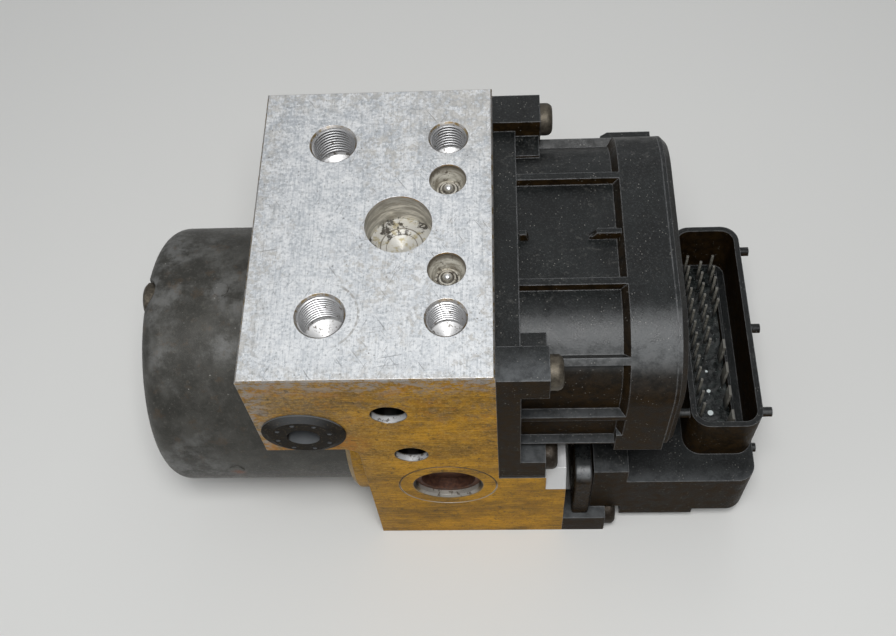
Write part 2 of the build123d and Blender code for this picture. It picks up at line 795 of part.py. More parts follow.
# ==== motor pot and what is fixed in it ====
with BuildPart() as motor_pot:
    rod(at_x(pot_end), (0, shaft_z), pot_radius, pot_length)
    fillet(motor_pot.edges().sort_by(Axis.X)[0], pot_corner)
    with BuildSketch(at_x(pot_floor)):
        with Locations((0, shaft_z)):
            Circle(pot_inner - pot_wall)
        with Locations(*[(0, z) for z in bolt_zs]):
            Circle(bolt_pocket_radius + pot_wall, mode=Mode.SUBTRACT)
    extrude(amount=bolt_seat_depth, mode=Mode.SUBTRACT)
    rod(at_x(pot_floor + bolt_seat_depth), (0, shaft_z), pot_inner, boss_face - pot_floor - bolt_seat_depth,
        mode=Mode.SUBTRACT)
    rod(at_x(pot_floor), (0, shaft_z), bush_radius + bush_housing_wall, bush_length)
    rod(at_x(pot_floor), (0, shaft_z), bush_radius, bush_length, mode=Mode.SUBTRACT)
    for z in bolt_zs:
        rod(at_x(pot_end), (0, z), bolt_pocket_radius, bolt_seat_depth, mode=Mode.SUBTRACT)
        rod(at_x(bolt_seat), (0, z), bolt_radius + loose_gap, 2 * pot_wall, mode=Mode.SUBTRACT)
    for turn in dimple_turns:
        angle = radians(turn + dimple_turn)
        foot = pot_radius - pot_wall / 2
        out = Plane(origin=(boss_face - dimple_x, foot * cos(angle), shaft_z + foot * sin(angle)),
                    x_dir=(1, 0, 0), z_dir=(0, cos(angle), sin(angle)))
        rod(out, (0, 0), dimple_radius, pot_wall / 2 + dimple_height)
save(motor_pot, "motor_pot")

for side, (face, flip, sign) in sides.items():
    with BuildPart() as magnet:
        with BuildSketch(at_x(pot_end + magnet_inset)):
            with BuildLine():
                start = (0 if sign > 0 else 180) - magnet_span / 2
                outer = CenterArc((0, shaft_z), pot_inner - running_gap, start, magnet_span)
                inner = CenterArc((0, shaft_z), magnet_inner, start, magnet_span)
                Line(outer @ 0, inner @ 0)
                Line(outer @ 1, inner @ 1)
            make_face()
        extrude(amount=boss_face - magnet_gap - pot_end - magnet_inset)
    save(magnet, f"magnet_{side}")

with BuildPart() as motor_seal:
    with BuildSketch(at_x(boss_face)):
        with Locations((0, shaft_z)):
            Circle(pot_inner + seal_inset + seal_width + fit_gap)
            Circle(pot_inner + seal_inset + fit_gap, mode=Mode.SUBTRACT)
    extrude(amount=seal_height - fit_gap)
save(motor_seal, "motor_seal")

with BuildPart() as motor_bolts:
    for z in bolt_zs:
        rod(at_x(bolt_seat - bolt_head_height), (0, z), bolt_head_radius, bolt_head_height)
    heads = motor_bolts.faces().group_by(Axis.X)[0]
    chamfer(heads.edges(), bolt_head_edge)
    with BuildSketch(at_x(bolt_seat - bolt_head_height)):
        with Locations(*[(0, z) for z in bolt_zs]):
            RegularPolygon(bolt_socket, 6)
    extrude(amount=bolt_socket_depth, mode=Mode.SUBTRACT)
    for z in bolt_zs:
        rod(at_x(bolt_seat), (0, z), bolt_radius - fit_gap,
            boss_face + bolt_thread - bolt_seat - shaft_end_gap)
save(motor_bolts, "motor_bolts")

# ==== brush plate with its two brush boxes, brushes and their springs ====
with BuildPart() as brush_plate:
    with BuildSketch(at_x(plate_left)):
        with Locations((0, shaft_z)):
            Circle(pot_inner - fit_gap)
            Circle(plate_bore, mode=Mode.SUBTRACT)
        with Locations(*[(0, z) for z in bolt_zs]):
            Circle(bolt_radius + loose_gap, mode=Mode.SUBTRACT)
    extrude(amount=plate_thickness)
    box_left = brush_x - brush_depth / 2 - brush_wall
    for side in sides:
        with BuildSketch(outward(side, plate_bore)):
            with Locations((sides[side][1] * (box_left + plate_left) / 2, shaft_z)):
                Rectangle(plate_left - box_left, brush_width + 2 * brush_wall)
        extrude(amount=brush_box_end + brush_wall - plate_bore)
        with BuildSketch(outward(side, plate_bore)):
            with Locations((sides[side][1] * brush_x, shaft_z)):
                Rectangle(brush_depth + 2 * running_gap, brush_width + 2 * running_gap)
        extrude(amount=brush_box_end - plate_bore, mode=Mode.SUBTRACT)
save(brush_plate, "brush_plate")

for side in sides:
    with BuildPart() as brush:
        with BuildSketch(outward(side, brush_inner)):
            with Locations((sides[side][1] * brush_x, shaft_z)):
                Rectangle(brush_depth, brush_width)
        extrude(amount=brush_length)
    save(brush, f"brush_{side}")

    with BuildPart() as brush_spring:
        spot = (sides[side][1] * brush_x, shaft_z)
        rod(outward(side, brush_outer), spot, brush_depth / 2 - spring_gap, brush_spring_length)
        rod(outward(side, brush_outer), spot, brush_depth / 2 - spring_gap - 2 * brush_wire,
            brush_spring_length, mode=Mode.SUBTRACT)
    save(brush_spring, f"brush_spring_{side}")

# ==== lead that carries the motor current through the block ====
with BuildPart() as motor_lead:
    rod(at_x(boss_face), (0, lead_z), lead_radius, cap_left - boss_face)
save(motor_lead, "motor_lead")

# ==== accumulators ====
for side, (face, flip, sign) in sides.items():
    spot = (accumulator_x, sign * accumulator_y)
    with BuildPart() as accumulator_piston:
        rod(at_z(accumulator_piston_bottom), spot, accumulator_radius - running_gap,
            accumulator_piston_length)
        rod(at_z(accumulator_piston_bottom), spot, accumulator_radius - accumulator_skirt,
            accumulator_piston_length - accumulator_skirt, mode=Mode.SUBTRACT)
    save(accumulator_piston, f"accumulator_piston_{side}")

    with BuildPart() as accumulator_spring:
        spring_length = accumulator_piston_top - accumulator_skirt - accumulator_bottom
        spring_radius = accumulator_radius - accumulator_skirt - loose_gap
        rod(at_z(accumulator_bottom), spot, spring_radius, spring_length)
        rod(at_z(accumulator_bottom), spot, spring_radius - 2 * accumulator_wire, spring_length,
            mode=Mode.SUBTRACT)
    save(accumulator_spring, f"accumulator_spring_{side}")

    with BuildPart() as accumulator_cap:
        rod(at_z(accumulator_cap_recess), spot, accumulator_radius - fit_gap, accumulator_cap_thickness)
    save(accumulator_cap, f"accumulator_cap_{side}")

# ==== solenoid valves: the upper row is open at rest, the lower row is closed at rest ====
with BuildPart() as valve_bodies:
    for spot in valve_spots:
        rod(at_x(valve_bottom), spot, valve_bore_radius - fit_gap, valve_bore_depth)
        rod(at_x(coil_side), spot, dome_radius, dome_length)
    fillet(valve_bodies.faces().group_by(Axis.X)[-1].edges(), dome_round)
    for spot in valve_spots:
        rod(at_x(seat_x), spot, plunger_radius + running_gap, dome_end - dome_wall - seat_x,
            mode=Mode.SUBTRACT)
        rod(at_x(valve_bottom), spot, plunger_pin_radius, plunger_seat, mode=Mode.SUBTRACT)
save(valve_bodies, "valve_bodies")

for row, z in zip(("outlet", "inlet"), valve_rows):
    rest = seat_x + plunger_rest_gap + (plunger_lift if row == "inlet" else 0)
    for number, y in enumerate(valve_ys, start=1):
        with BuildPart() as valve_plunger:
            rod(at_x(rest), (y, z), plunger_pin_radius + 2 * spring_gap, plunger_pin_length)
            rod(at_x(rest + plunger_pin_length), (y, z), plunger_radius, plunger_length)
        save(valve_plunger, f"{row}_plunger_{number}")

with BuildPart() as valve_springs:
    for y, z in valve_spots:
        if z == valve_rows[1]:
            start = seat_x
            length = plunger_rest_gap + plunger_pin_length - spring_gap
        else:
            start = seat_x + plunger_rest_gap + plunger_pin_length + plunger_length + plunger_lift + spring_gap
            length = dome_end - dome_wall - start
        rod(at_x(start), (y, z), plunger_radius - spring_gap, length)
        rod(at_x(start), (y, z), plunger_radius - spring_gap - 2 * valve_wire, length,
            mode=Mode.SUBTRACT)
save(valve_springs, "valve_springs")

with BuildPart() as valve_coils:
    for spot in valve_spots:
        rod(at_x(flange_right), spot, coil_radius - loose_gap, coil_length)
        rod(at_x(flange_right), spot, coil_radius, coil_flange)
        rod(at_x(flange_right + coil_length - coil_flange), spot, coil_radius, coil_flange)
    for spot in valve_spots:
        rod(at_x(flange_right), spot, coil_bore_radius, coil_length, mode=Mode.SUBTRACT)
save(valve_coils, "valve_coils")

# ==== coil housing ====
with BuildPart() as panel_ribs:
    shoulder_y = body_half - body_shoulder
    shoulder_z = body_top - body_shoulder
    with BuildSketch(at_x(flange_right)):
        for y in (rear_top_rib, front_top_rib):
            with Locations((y, shoulder_z)):
                Rectangle(rib_size, body_shoulder, align=(Align.CENTER, Align.MIN))
        for z in (upper_side_rib, lower_side_rib):
            with Locations((0, z)):
                Rectangle(2 * body_half, rib_size)
        for center, angle in ((-shoulder_y, 180 - front_corner_rib), (shoulder_y, rear_corner_rib)):
            with Locations(Location((center, shoulder_z, 0), (0, 0, angle))):
                Rectangle(body_shoulder, rib_size, align=(Align.MIN, Align.CENTER))
    extrude(amount=band_start + band_ramp - flange_right)
    extrude(housing_outline(flange_right, 0), amount=band_start + band_ramp - flange_right,
            mode=Mode.INTERSECT)

with BuildPart() as coil_housing:
    with BuildSketch(at_x(coil_side)):
        with Locations((0, (flange_bottom + flange_top) / 2)):
            Rectangle(block_depth, flange_top - flange_bottom)
    extrude(amount=flange_thickness)
    for y, z in lug_spots:
        with BuildSketch(at_x(coil_side)):
            with Locations((y, z)):
                Rectangle(lug_width, lug_height)
        extrude(amount=lug_right - coil_side)
    for sign, spot_y in ((-1, front_lug_y), (1, rear_lug_y)):
        with BuildSketch(at_x(flange_right)):
            with Locations((spot_y - sign * lug_width / 2, web_top)):
                Rectangle(web_width, web_height, align=(Align.MAX if sign > 0 else Align.MIN, Align.MAX))
        extrude(amount=web_reach - flange_right)

    # panelled middle, band and the step between them
    extrude(housing_outline(flange_right, panel_depth), amount=band_start - flange_right)
    loft([housing_outline(band_start, panel_depth), housing_outline(band_start + band_ramp, 0)])
    extrude(housing_outline(band_start + band_ramp, 0), amount=band_end - band_start - band_ramp)
    add(panel_ribs.part)
    with BuildSketch(at_z(body_top - panel_depth)):
        with BuildLine():
            Polyline(
                (band_start - mark_length, mark_front),
                (band_start - mark_length + mark_point, mark_rear),
                (band_start, mark_rear),
                (band_start, mark_front),
                close=True,
            )
        make_face()
    extrude(amount=mark_height)
    with BuildSketch(at_z(pad_low)):
        with BuildLine():
            Polyline(
                (pad_ramp_start, body_half - panel_depth - housing_wall / 2),
                (pad_ramp_start, body_half),
                (pad_ramp_start + pad_ramp, body_half + pad_height),
                (band_end - pad_margin, body_half + pad_height),
                (band_end - pad_margin, body_half - panel_depth - housing_wall / 2),
                close=True,
            )
        make_face()
    extrude(amount=pad_high - pad_low)
    with BuildSketch(at_x(band_start)):
        with Locations((-body_half, (foot_block_low + foot_block_high) / 2)):
            Rectangle(foot_block_width, foot_block_high - foot_block_low, align=(Align.MIN, Align.CENTER))
    extrude(amount=band_end - band_start)

    # inside, with holes for the valve domes, the screws and the seal
    extrude(housing_outline(flange_right, panel_depth + housing_wall), amount=band_end - flange_right,
            mode=Mode.SUBTRACT)
    for spot in valve_spots:
        rod(at_x(coil_side), spot, dome_radius + loose_gap, flange_thickness, mode=Mode.SUBTRACT)
    for spot in lug_spots:
        rod(at_x(coil_side), spot, screw_radius + screw_hole_gap, lug_right - coil_side, mode=Mode.SUBTRACT)
    extrude(seal_ring(-fit_gap), amount=housing_seal_depth + fit_gap, mode=Mode.SUBTRACT)
save(coil_housing, "coil_housing")

with BuildPart() as coil_housing_seal:
    extrude(seal_ring(0), amount=housing_seal_depth)
save(coil_housing_seal, "coil_housing_seal")

with BuildPart() as coil_housing_lid:
    extrude(housing_outline(band_end, 0), amount=lid_thickness)
    chamfer(coil_housing_lid.faces().sort_by(Axis.X)[-1].edges(), lid_bevel)
    lip_inset = panel_depth + housing_wall + running_gap
    extrude(housing_outline(band_end - lid_lip, lip_inset), amount=lid_lip)
    extrude(housing_outline(band_end - lid_lip, lip_inset + lid_lip_wall), amount=lid_lip,
            mode=Mode.SUBTRACT)
save(coil_housing_lid, "coil_housing_lid")


def pan_screws(spots, seat, thread_end):
    """Pan-head screws with a hexagon socket, their heads to the right of the seat."""
    with BuildPart() as screws:
        for spot in spots:
            rod(at_x(seat), spot, screw_head_radius, screw_head_height)
        fillet(screws.faces().group_by(Axis.X)[-1].edges(), screw_edge)
        with BuildSketch(at_x(seat + screw_head_height)):
            with Locations(*spots):
                RegularPolygon(screw_socket, 6)
        extrude(amount=-screw_socket_depth, mode=Mode.SUBTRACT)
        for spot in spots:
            rod(at_x(thread_end), spot, screw_radius - fit_gap, seat - thread_end)
    return screws


save(pan_screws(lug_spots, lug_right, coil_side - screw_thread + shaft_end_gap), "coil_housing_screws")
save(pan_screws(unit_screw_spots, unit_lug_right, foot_right - unit_screw_thread + shaft_end_gap),
     "control_unit_screws")

# ==== contact strip between the coil housing and the control unit ====
with BuildPart() as contact_strip:
    with BuildSketch(at_z(unit_top)):
        with Locations((strip_x + strip_width / 2, 0)):
            Rectangle(strip_width, 2 * strip_half)
    extrude(amount=body_bottom - unit_top)
save(contact_strip, "contact_strip")

# ==== control unit ====
with BuildPart() as control_unit_housing:
    with BuildSketch(at_y(unit_half)):
        with BuildLine():
            Polyline(
                (unit_left, unit_bottom),
                (unit_left, unit_top + hump_height),
                (hump_right, unit_top + hump_height),
                (hump_right, unit_top),
                (unit_right, unit_top),
                (unit_right, unit_bottom + unit_step),
                (unit_step_x, unit_bottom + unit_step),
                (unit_step_x, unit_bottom),
                close=True,
            )
        make_face()
    extrude(amount=2 * unit_half)
    fillet(control_unit_housing.edges().filter_by(Axis.Z).group_by(Axis.X)[-1], unit_corner)
    for y, z in unit_screw_spots:
        with BuildSketch(at_x(unit_left)):
            with Locations((y, unit_lug_height / 2)):
                Rectangle(lug_width + 2 * fit_gap, unit_lug_height)
        extrude(amount=unit_lug_right + screw_notch - unit_left, mode=Mode.SUBTRACT)
        with BuildSketch(at_x(foot_right)):
            with Locations((y, unit_lug_height / 2)):
                Rectangle(lug_width, unit_lug_height)
        extrude(amount=unit_lug_right - foot_right)
        rod(at_x(foot_right), (y, z), screw_radius + screw_hole_gap, unit_lug_right - foot_right,
            mode=Mode.SUBTRACT)

    # connector shroud with its keying pegs and the island that the pins stand in
    with BuildSketch(at_z(unit_top)):
        with Locations((shroud_x, shroud_y)):
            RectangleRounded(shroud_width, shroud_depth, shroud_corner)
            RectangleRounded(shroud_width - 2 * shroud_wall, shroud_depth - 2 * shroud_wall,
                             shroud_corner - shroud_wall, mode=Mode.SUBTRACT)
    extrude(amount=shroud_height)
    with BuildSketch(at_z(unit_top)):
        with Locations((shroud_x - shroud_wall, shroud_y)):
            Rectangle(shroud_width - 4 * shroud_wall - island_margin,
                      shroud_depth - 2 * shroud_wall - 2 * island_margin)
    extrude(amount=island_height)
    for y in peg_ys:
        rod(at_x(shroud_right - shroud_wall / 2), (y, peg_z), peg_radius, peg_length + shroud_wall / 2)
        rod(at_x(shroud_left - peg_length), (y, peg_z), peg_radius, peg_length + shroud_wall / 2)

    rod(at_x(unit_right - unit_wall / 2), (peg_ys[-1], peg_z - lower_peg_drop), peg_radius,
        peg_length + unit_wall / 2)
    with BuildSketch(at_z(unit_top)):
        with Locations((partition_x, shroud_y)):
            Rectangle(partition_width, shroud_depth - 2 * partition_margin)
    extrude(amount=partition_height)

    # inside: room for the board, the opening that the cover closes and the posts that carry the board
    inner_left = unit_left + unit_wall
    inner_half = unit_half - unit_wall
    floor_z = unit_bottom + unit_step + unit_floor
    opening_half = unit_half - unit_opening_inset
    with BuildSketch(at_z(floor_z)):
        with Locations((inner_left, 0)):
            Rectangle(unit_right - unit_wall - inner_left, 2 * inner_half, align=(Align.MIN, Align.CENTER))
    extrude(amount=roof_z - floor_z, mode=Mode.SUBTRACT)
    with BuildSketch(at_z(unit_bottom)):
        with Locations((inner_left, 0)):
            Rectangle(unit_step_x - unit_wall - inner_left, 2 * opening_half,
                      align=(Align.MIN, Align.CENTER))
    extrude(amount=floor_z - unit_bottom, mode=Mode.SUBTRACT)
    post_xs = (board_left + post_inset, board_right - post_inset)
    for x in post_xs:
        for y in (-board_half + post_inset, board_half - post_inset):
            rod(at_z(board_top), (x, y), post_radius, roof_z - board_top)

    # slots for the pins and blades
    with BuildSketch(at_z(roof_z)):
        with Locations(*pin_spots):
            Rectangle(pin_size + 2 * pin_gap, pin_size + 2 * pin_gap)
        with Locations(*blade_spots):
            Rectangle(pin_size + 2 * pin_gap, blade_width + 2 * pin_gap)
    extrude(amount=unit_wall + island_height, mode=Mode.SUBTRACT)
save(control_unit_housing, "control_unit_housing")

with BuildPart() as control_unit_cover:
    with BuildSketch(at_z(unit_bottom + cover_recess)):
        with Locations((inner_left + running_gap, 0)):
            Rectangle(unit_step_x - unit_wall - inner_left - 2 * running_gap,
                      2 * (opening_half - running_gap), align=(Align.MIN, Align.CENTER))
    extrude(amount=cover_thickness)
save(control_unit_cover, "control_unit_cover")

with BuildPart() as circuit_board:
    with BuildSketch(at_z(board_z)):
        with Locations(((board_left + board_right) / 2, 0)):
            Rectangle(board_right - board_left, 2 * board_half)
    extrude(amount=board_thickness)
save(circuit_board, "circuit_board")

with BuildPart() as connector_pins:
    with BuildSketch(at_z(board_top)):
        with Locations(*pin_spots):
            Rectangle(pin_size, pin_size)
        with Locations(*blade_spots):
            Rectangle(pin_size, blade_width)
    extrude(amount=pin_tip_z - board_top)
save(connector_pins, "connector_pins")

# ==== plug cap of the motor lead, between the block and the control unit ====
with BuildPart() as plug_cap:
    with BuildSketch(at_x(cap_left)) as cap_outline:
        with Locations((0, unit_lug_height)):
            Rectangle(2 * cap_half, cap_top - unit_lug_height, align=(Align.CENTER, Align.MIN))
        fillet(cap_outline.vertices().group_by(Axis.Y)[-1], cap_corner)
    extrude(amount=cap_width)
    foot_edges = plug_cap.faces().sort_by(Axis.Z)[0].edges()
    fillet(plug_cap.faces().filter_by(Axis.X).edges() - foot_edges, cap_round)
    with BuildSketch(at_z(unit_lug_height)):
        with Locations((cap_left + cap_wall, 0)):
            Rectangle(cap_width - 2 * cap_wall, 2 * (cap_half - cap_wall), align=(Align.MIN, Align.CENTER))
    extrude(amount=cap_top - unit_lug_height - 2 * cap_wall, mode=Mode.SUBTRACT)
save(plug_cap, "plug_cap")
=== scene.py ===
from math import cos, pi, radians, sin

import bpy
from mathutils import Matrix, Vector


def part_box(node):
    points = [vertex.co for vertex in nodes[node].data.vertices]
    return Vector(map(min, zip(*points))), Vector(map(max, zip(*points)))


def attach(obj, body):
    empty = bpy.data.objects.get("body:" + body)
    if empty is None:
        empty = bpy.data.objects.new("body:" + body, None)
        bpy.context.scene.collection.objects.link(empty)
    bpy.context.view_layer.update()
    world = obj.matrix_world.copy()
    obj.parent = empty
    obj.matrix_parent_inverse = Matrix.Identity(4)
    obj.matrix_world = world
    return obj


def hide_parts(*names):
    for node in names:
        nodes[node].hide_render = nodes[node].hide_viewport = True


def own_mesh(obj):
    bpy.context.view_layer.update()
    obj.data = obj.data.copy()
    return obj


# Dresses the brake modulator: finishes for every piece, threads in the ports, sealing compound around
# the connector pins, two gussets and the wound springs of the accumulators. The named places and the
# helpers count in millimetres, while the scene itself and the sockets of its nodes are in metres.

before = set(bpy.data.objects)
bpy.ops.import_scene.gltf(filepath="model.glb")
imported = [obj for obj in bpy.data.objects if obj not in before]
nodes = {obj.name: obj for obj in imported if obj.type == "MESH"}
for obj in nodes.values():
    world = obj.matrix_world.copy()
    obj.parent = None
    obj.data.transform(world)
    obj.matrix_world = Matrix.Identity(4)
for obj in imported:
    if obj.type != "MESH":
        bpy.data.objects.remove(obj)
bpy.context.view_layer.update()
BODY = "module"


def mm(*values):
    """A point or size in metres from millimetres."""
    return Vector(values) / 1000


# ---- places on the block ----
BLOCK_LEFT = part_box("valve_block")[0][0] * 1000
BLOCK_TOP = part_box("valve_block")[1][2] * 1000
HALF_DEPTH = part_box("valve_block")[1][1] * 1000
MASTER_PORT = (-26.35, 25.0, 5.55)  # x, y and radius
WHEEL_PORT = (2.7, 26.1, 4.6)
DAMPER_BORE = (-9.06, 0.0, 8.2)
STUB_BORE = (2.7, 13.0, 4.6)
TOP_BORES = (MASTER_PORT, WHEEL_PORT, DAMPER_BORE, STUB_BORE)
TOP_BORES_END = 66  # height below which none of them shows
DAMPER_FLOOR = (DAMPER_BORE[0], 0, 90.4)
CROSS_BORES = ((-11.7, 81.8, 4.45), (-8.2, 57.9, 4.37))  # x, z and radius
PUMP_BORE = (0.0, 36.5, 9.6)
STAKED_RING = (PUMP_BORE[0], -HALF_DEPTH, PUMP_BORE[1])
STAKED_RING_RADIUS = 13.15
SIDE_PORT = (24.0, 76.0, 4.6)  # y, z and radius
SHELF = (26.0, 44)  # x where it starts and its height

# ---- shades of the main finishes ----
TOP_DULL, TOP_PALE = (0.52, 0.545, 0.57), (0.78, 0.79, 0.795)
# the front's golden-brown shades are partly patina and partly a painted yellow reflection
DARK_PATINA_AND_REFLECTION, GOLD_PATINA_AND_REFLECTION = (0.25, 0.130, 0.012), (0.56, 0.285, 0.010)
BURNISHED = (0.47, 0.47, 0.475)


# ---- camera ----
def place_camera():
    """Stands the camera above the front of the unit, looking down at its ports."""
    yaw, height, roll = radians(-5.99), radians(59.92), radians(-6.20)
    stand = mm(16.28, -150.99, 316.54)
    focal, image_width, sensor = 1100.8, 896, 36  # the first two in pixels
    ahead = Vector((sin(yaw) * cos(height), cos(yaw) * cos(height), -sin(height)))
    level = Vector((cos(yaw), -sin(yaw), 0))
    upward = level.cross(ahead)
    right = cos(roll) * level + sin(roll) * upward
    above = -sin(roll) * level + cos(roll) * upward
    camera = bpy.data.objects.new("camera", bpy.data.cameras.new("camera"))
    bpy.context.collection.objects.link(camera)
    turn = Matrix((right, above, -ahead)).transposed().to_4x4()
    camera.matrix_world = Matrix.Translation(stand) @ turn
    camera.data.sensor_width = sensor
    camera.data.lens = sensor * focal / image_width
    camera.data.clip_start = 0.01
    bpy.context.scene.camera = camera


# ---- nodes of a finish ----
class Finish:
    """A material for one kind of surface, with short calls for the nodes that shape it."""

    def __init__(self, name, colour, roughness, metallic=0.0):
        self.material = bpy.data.materials.new(name)
        self.material.use_nodes = True
        self.tree = self.material.node_tree
        self.shader = self.tree.nodes["Principled BSDF"]
        coords = self.tree.nodes.new("ShaderNodeTexCoord")
        self.place = coords.outputs["Object"]
        self.normal = coords.outputs["Normal"]
        self.set("Base Color", colour)
        self.set("Roughness", roughness)
        self.set("Metallic", metallic)

    def feed(self, socket, value):
        if isinstance(value, bpy.types.NodeSocket):
            self.tree.links.new(value, socket)
        elif socket.type == "RGBA" and len(value) == 3:
            socket.default_value = (*value, 1)
        else:
            socket.default_value = value

    def set(self, name, value):
        self.feed(self.shader.inputs[name], value)

    def add(self, kind, *values, **settings):
        made = self.tree.nodes.new("ShaderNode" + kind)
        for name, value in settings.items():
            setattr(made, name, value)
        for socket, value in zip(made.inputs, values):
            if value is not None:
                self.feed(socket, value)
        return made

    def noise(self, size, detail=4.0, roughness=0.55, stretch=(1, 1, 1), shift=(0, 0, 0), turn=0.0):
        """Noise with blotches as wide as size, drawn out along the axes, which may turn about Z."""
        scale = [1000 / (size * s) for s in stretch]
        place = self.place
        if turn:
            place = self.add("VectorRotate", place, None, (0, 0, 1), radians(turn)).outputs[0]
        mapping = self.add("Mapping", place, shift, None, scale)
        made = self.add("TexNoise")
        self.feed(made.inputs["Vector"], mapping.outputs[0])
        for name, value in (("Scale", 1.0), ("Detail", detail), ("Roughness", roughness)):
            self.feed(made.inputs[name], value)
        return made.outputs[0]

    def cells(self, size, stretch=(1, 1, 1)):
        """Distance from the nearest of many scattered points."""
        mapping = self.add("Mapping", self.place, None, None, [1000 / (size * s) for s in stretch])
        made = self.add("TexVoronoi")
        self.feed(made.inputs["Vector"], mapping.outputs[0])
        self.feed(made.inputs["Scale"], 1.0)
        return made.outputs["Distance"]

    def grade(self, value, low, high, start=0.0, end=1.0):
        """Maps a value from low..high to start..end, held at both ends."""
        made = self.add("MapRange", value, low, high, start, end, interpolation_type="SMOOTHSTEP")
        return made.outputs[0]

    def calc(self, operation, *values):
        return self.add("Math", *values, operation=operation).outputs[0]

    def times(self, *values):
        result = values[0]
        for value in values[1:]:
            result = self.calc("MULTIPLY", result, value)
        return result

    def most(self, *values):
        result = values[0]
        for value in values[1:]:
            result = self.calc("MAXIMUM", result, value)
        return result

    def mix(self, amount, first, second):
        made = self.add("Mix", data_type="RGBA")
        self.feed(made.inputs[0], amount)
        self.feed(made.inputs[6], first)
        self.feed(made.inputs[7], second)
        return made.outputs[2]

    def towards(self, direction, low=0.6, high=0.9):
        """One where the surface looks along a direction."""
        dot = self.add("VectorMath", self.normal, direction, operation="DOT_PRODUCT").outputs["Value"]
        return self.grade(dot, low, high)

    def distance(self, place, point):
        """How far a place is from a point, in metres."""
        return self.add("VectorMath", place, mm(*point), operation="DISTANCE").outputs["Value"]

    def near(self, point, inner, outer):
        """One within the inner distance of a point, nothing past the outer one."""
        far = self.distance(self.place, point)
        return self.grade(far, inner / 1000, outer / 1000, 1.0, 0.0)

    def ring(self, point, radius, width):
        """One on a thin ring around a point."""
        far = self.distance(self.place, point)
        off = self.calc("ABSOLUTE", self.calc("SUBTRACT", far, radius / 1000))
        return self.grade(off, width / 2000, width / 1000, 1.0, 0.0)

    def bore(self, axis, first, second, radius):
        """One inside the pair of round bores along an axis, which lie mirrored about the shaft."""
        keep = (1, 1, 0) if axis == "Z" else (1, 0, 1)
        middle = (first, second, 0) if axis == "Z" else (first, 0, second)
        flat = self.add("VectorMath", self.folded(), keep, operation="MULTIPLY").outputs[0]
        far = self.distance(flat, middle)
        return self.grade(far, (radius + 0.05) / 1000, (radius + 0.15) / 1000, 1.0, 0.0)

    def folded(self):
        """Place with the rear half folded onto +Y."""
        split = self.add("SeparateXYZ", self.place)
        join = self.add("CombineXYZ")
        self.feed(join.inputs[0], split.outputs[0])
        self.feed(join.inputs[1], self.calc("ABSOLUTE", split.outputs[1]))
        self.feed(join.inputs[2], split.outputs[2])
        return join.outputs[0]

    def depth_from_faces(self, depth, blur=0.1):
        """One further than a depth below the front and rear faces of the block."""
        split = self.add("SeparateXYZ", self.folded())
        half = HALF_DEPTH - depth
        return self.grade(split.outputs[1], half / 1000, (half - blur) / 1000)

    def along(self, axis, low, high, start=0.0, end=1.0):
        """Runs from start to end between two places on an axis."""
        split = self.add("SeparateXYZ", self.place)
        return self.grade(split.outputs["XYZ".index(axis)], low / 1000, high / 1000, start, end)

    def round_edges(self, radius):
        """Normal of a surface whose sharp edges are rounded."""
        return self.add("Bevel", radius / 1000, samples=4).outputs[0]

    def edge_wear(self, radius, low=0.02, high=0.25):
        """One along sharp edges, nothing on open faces."""
        soft = self.round_edges(radius)
        true = self.add("NewGeometry").outputs["True Normal"]
        dot = self.add("VectorMath", soft, true, operation="DOT_PRODUCT").outputs["Value"]
        return self.grade(self.calc("SUBTRACT", 1.0, dot), low, high)

    def bump(self, height, depth, under=None, strength=1.0):
        """Raises the surface by up to depth."""
        made = self.add("Bump")
        self.feed(made.inputs["Strength"], strength)
        self.feed(made.inputs["Distance"], depth / 1000)
        self.feed(made.inputs["Height"], height)
        if under is not None:
            self.feed(made.inputs["Normal"], under)
        self.set("Normal", made.outputs[0])
        return made.outputs[0]


# ---- finishes ----
class BlockFinish(Finish):
    """Drawn and milled aluminium, with the grain that its surfaces share."""

    def __init__(self):
        super().__init__("valve_block_metal", (0.6, 0.61, 0.62), 0.4, 1.0)
        self.blotch = self.noise(5, 8, 0.72)
        self.fine = self.noise(1.5, 6, 0.65, shift=(3, 1, 2))
        self.sand = self.noise(0.8, 4, 0.75, shift=(6, 6, 6))
        self.lines_y = self.noise(0.45, 5, 0.75, stretch=(1, 18, 1))
        self.lines_x = self.noise(0.50, 6, 0.78, stretch=(10, 1, 1))


def top_dirt(f):
    """Beige dirt on the top: in clouds, in the rear right corner, along the edges and by the ports."""
    clouds = f.times(f.grade(f.fine, 0.50, 0.62),
                     f.grade(f.noise(20, 3, 0.5, shift=(7, 2, 5)), 0.46, 0.60))
    corner = f.times(f.near((8, 36, BLOCK_TOP), 3, 26), f.grade(f.fine, 0.38, 0.54))
    rims = f.most(f.along("Y", -37, -42), f.along("X", 9, 14), f.along("Y", 30, 42),
                  f.along("X", -36, -44))
    edges = f.times(rims, f.grade(f.fine, 0.44, 0.60))
    beside = f.times(f.most(f.near((-13, -18, BLOCK_TOP), 1, 9), f.near((-13, 22, BLOCK_TOP), 2, 13)),
                     f.grade(f.fine, 0.46, 0.60))
    return f.most(clouds, corner, edges, beside)


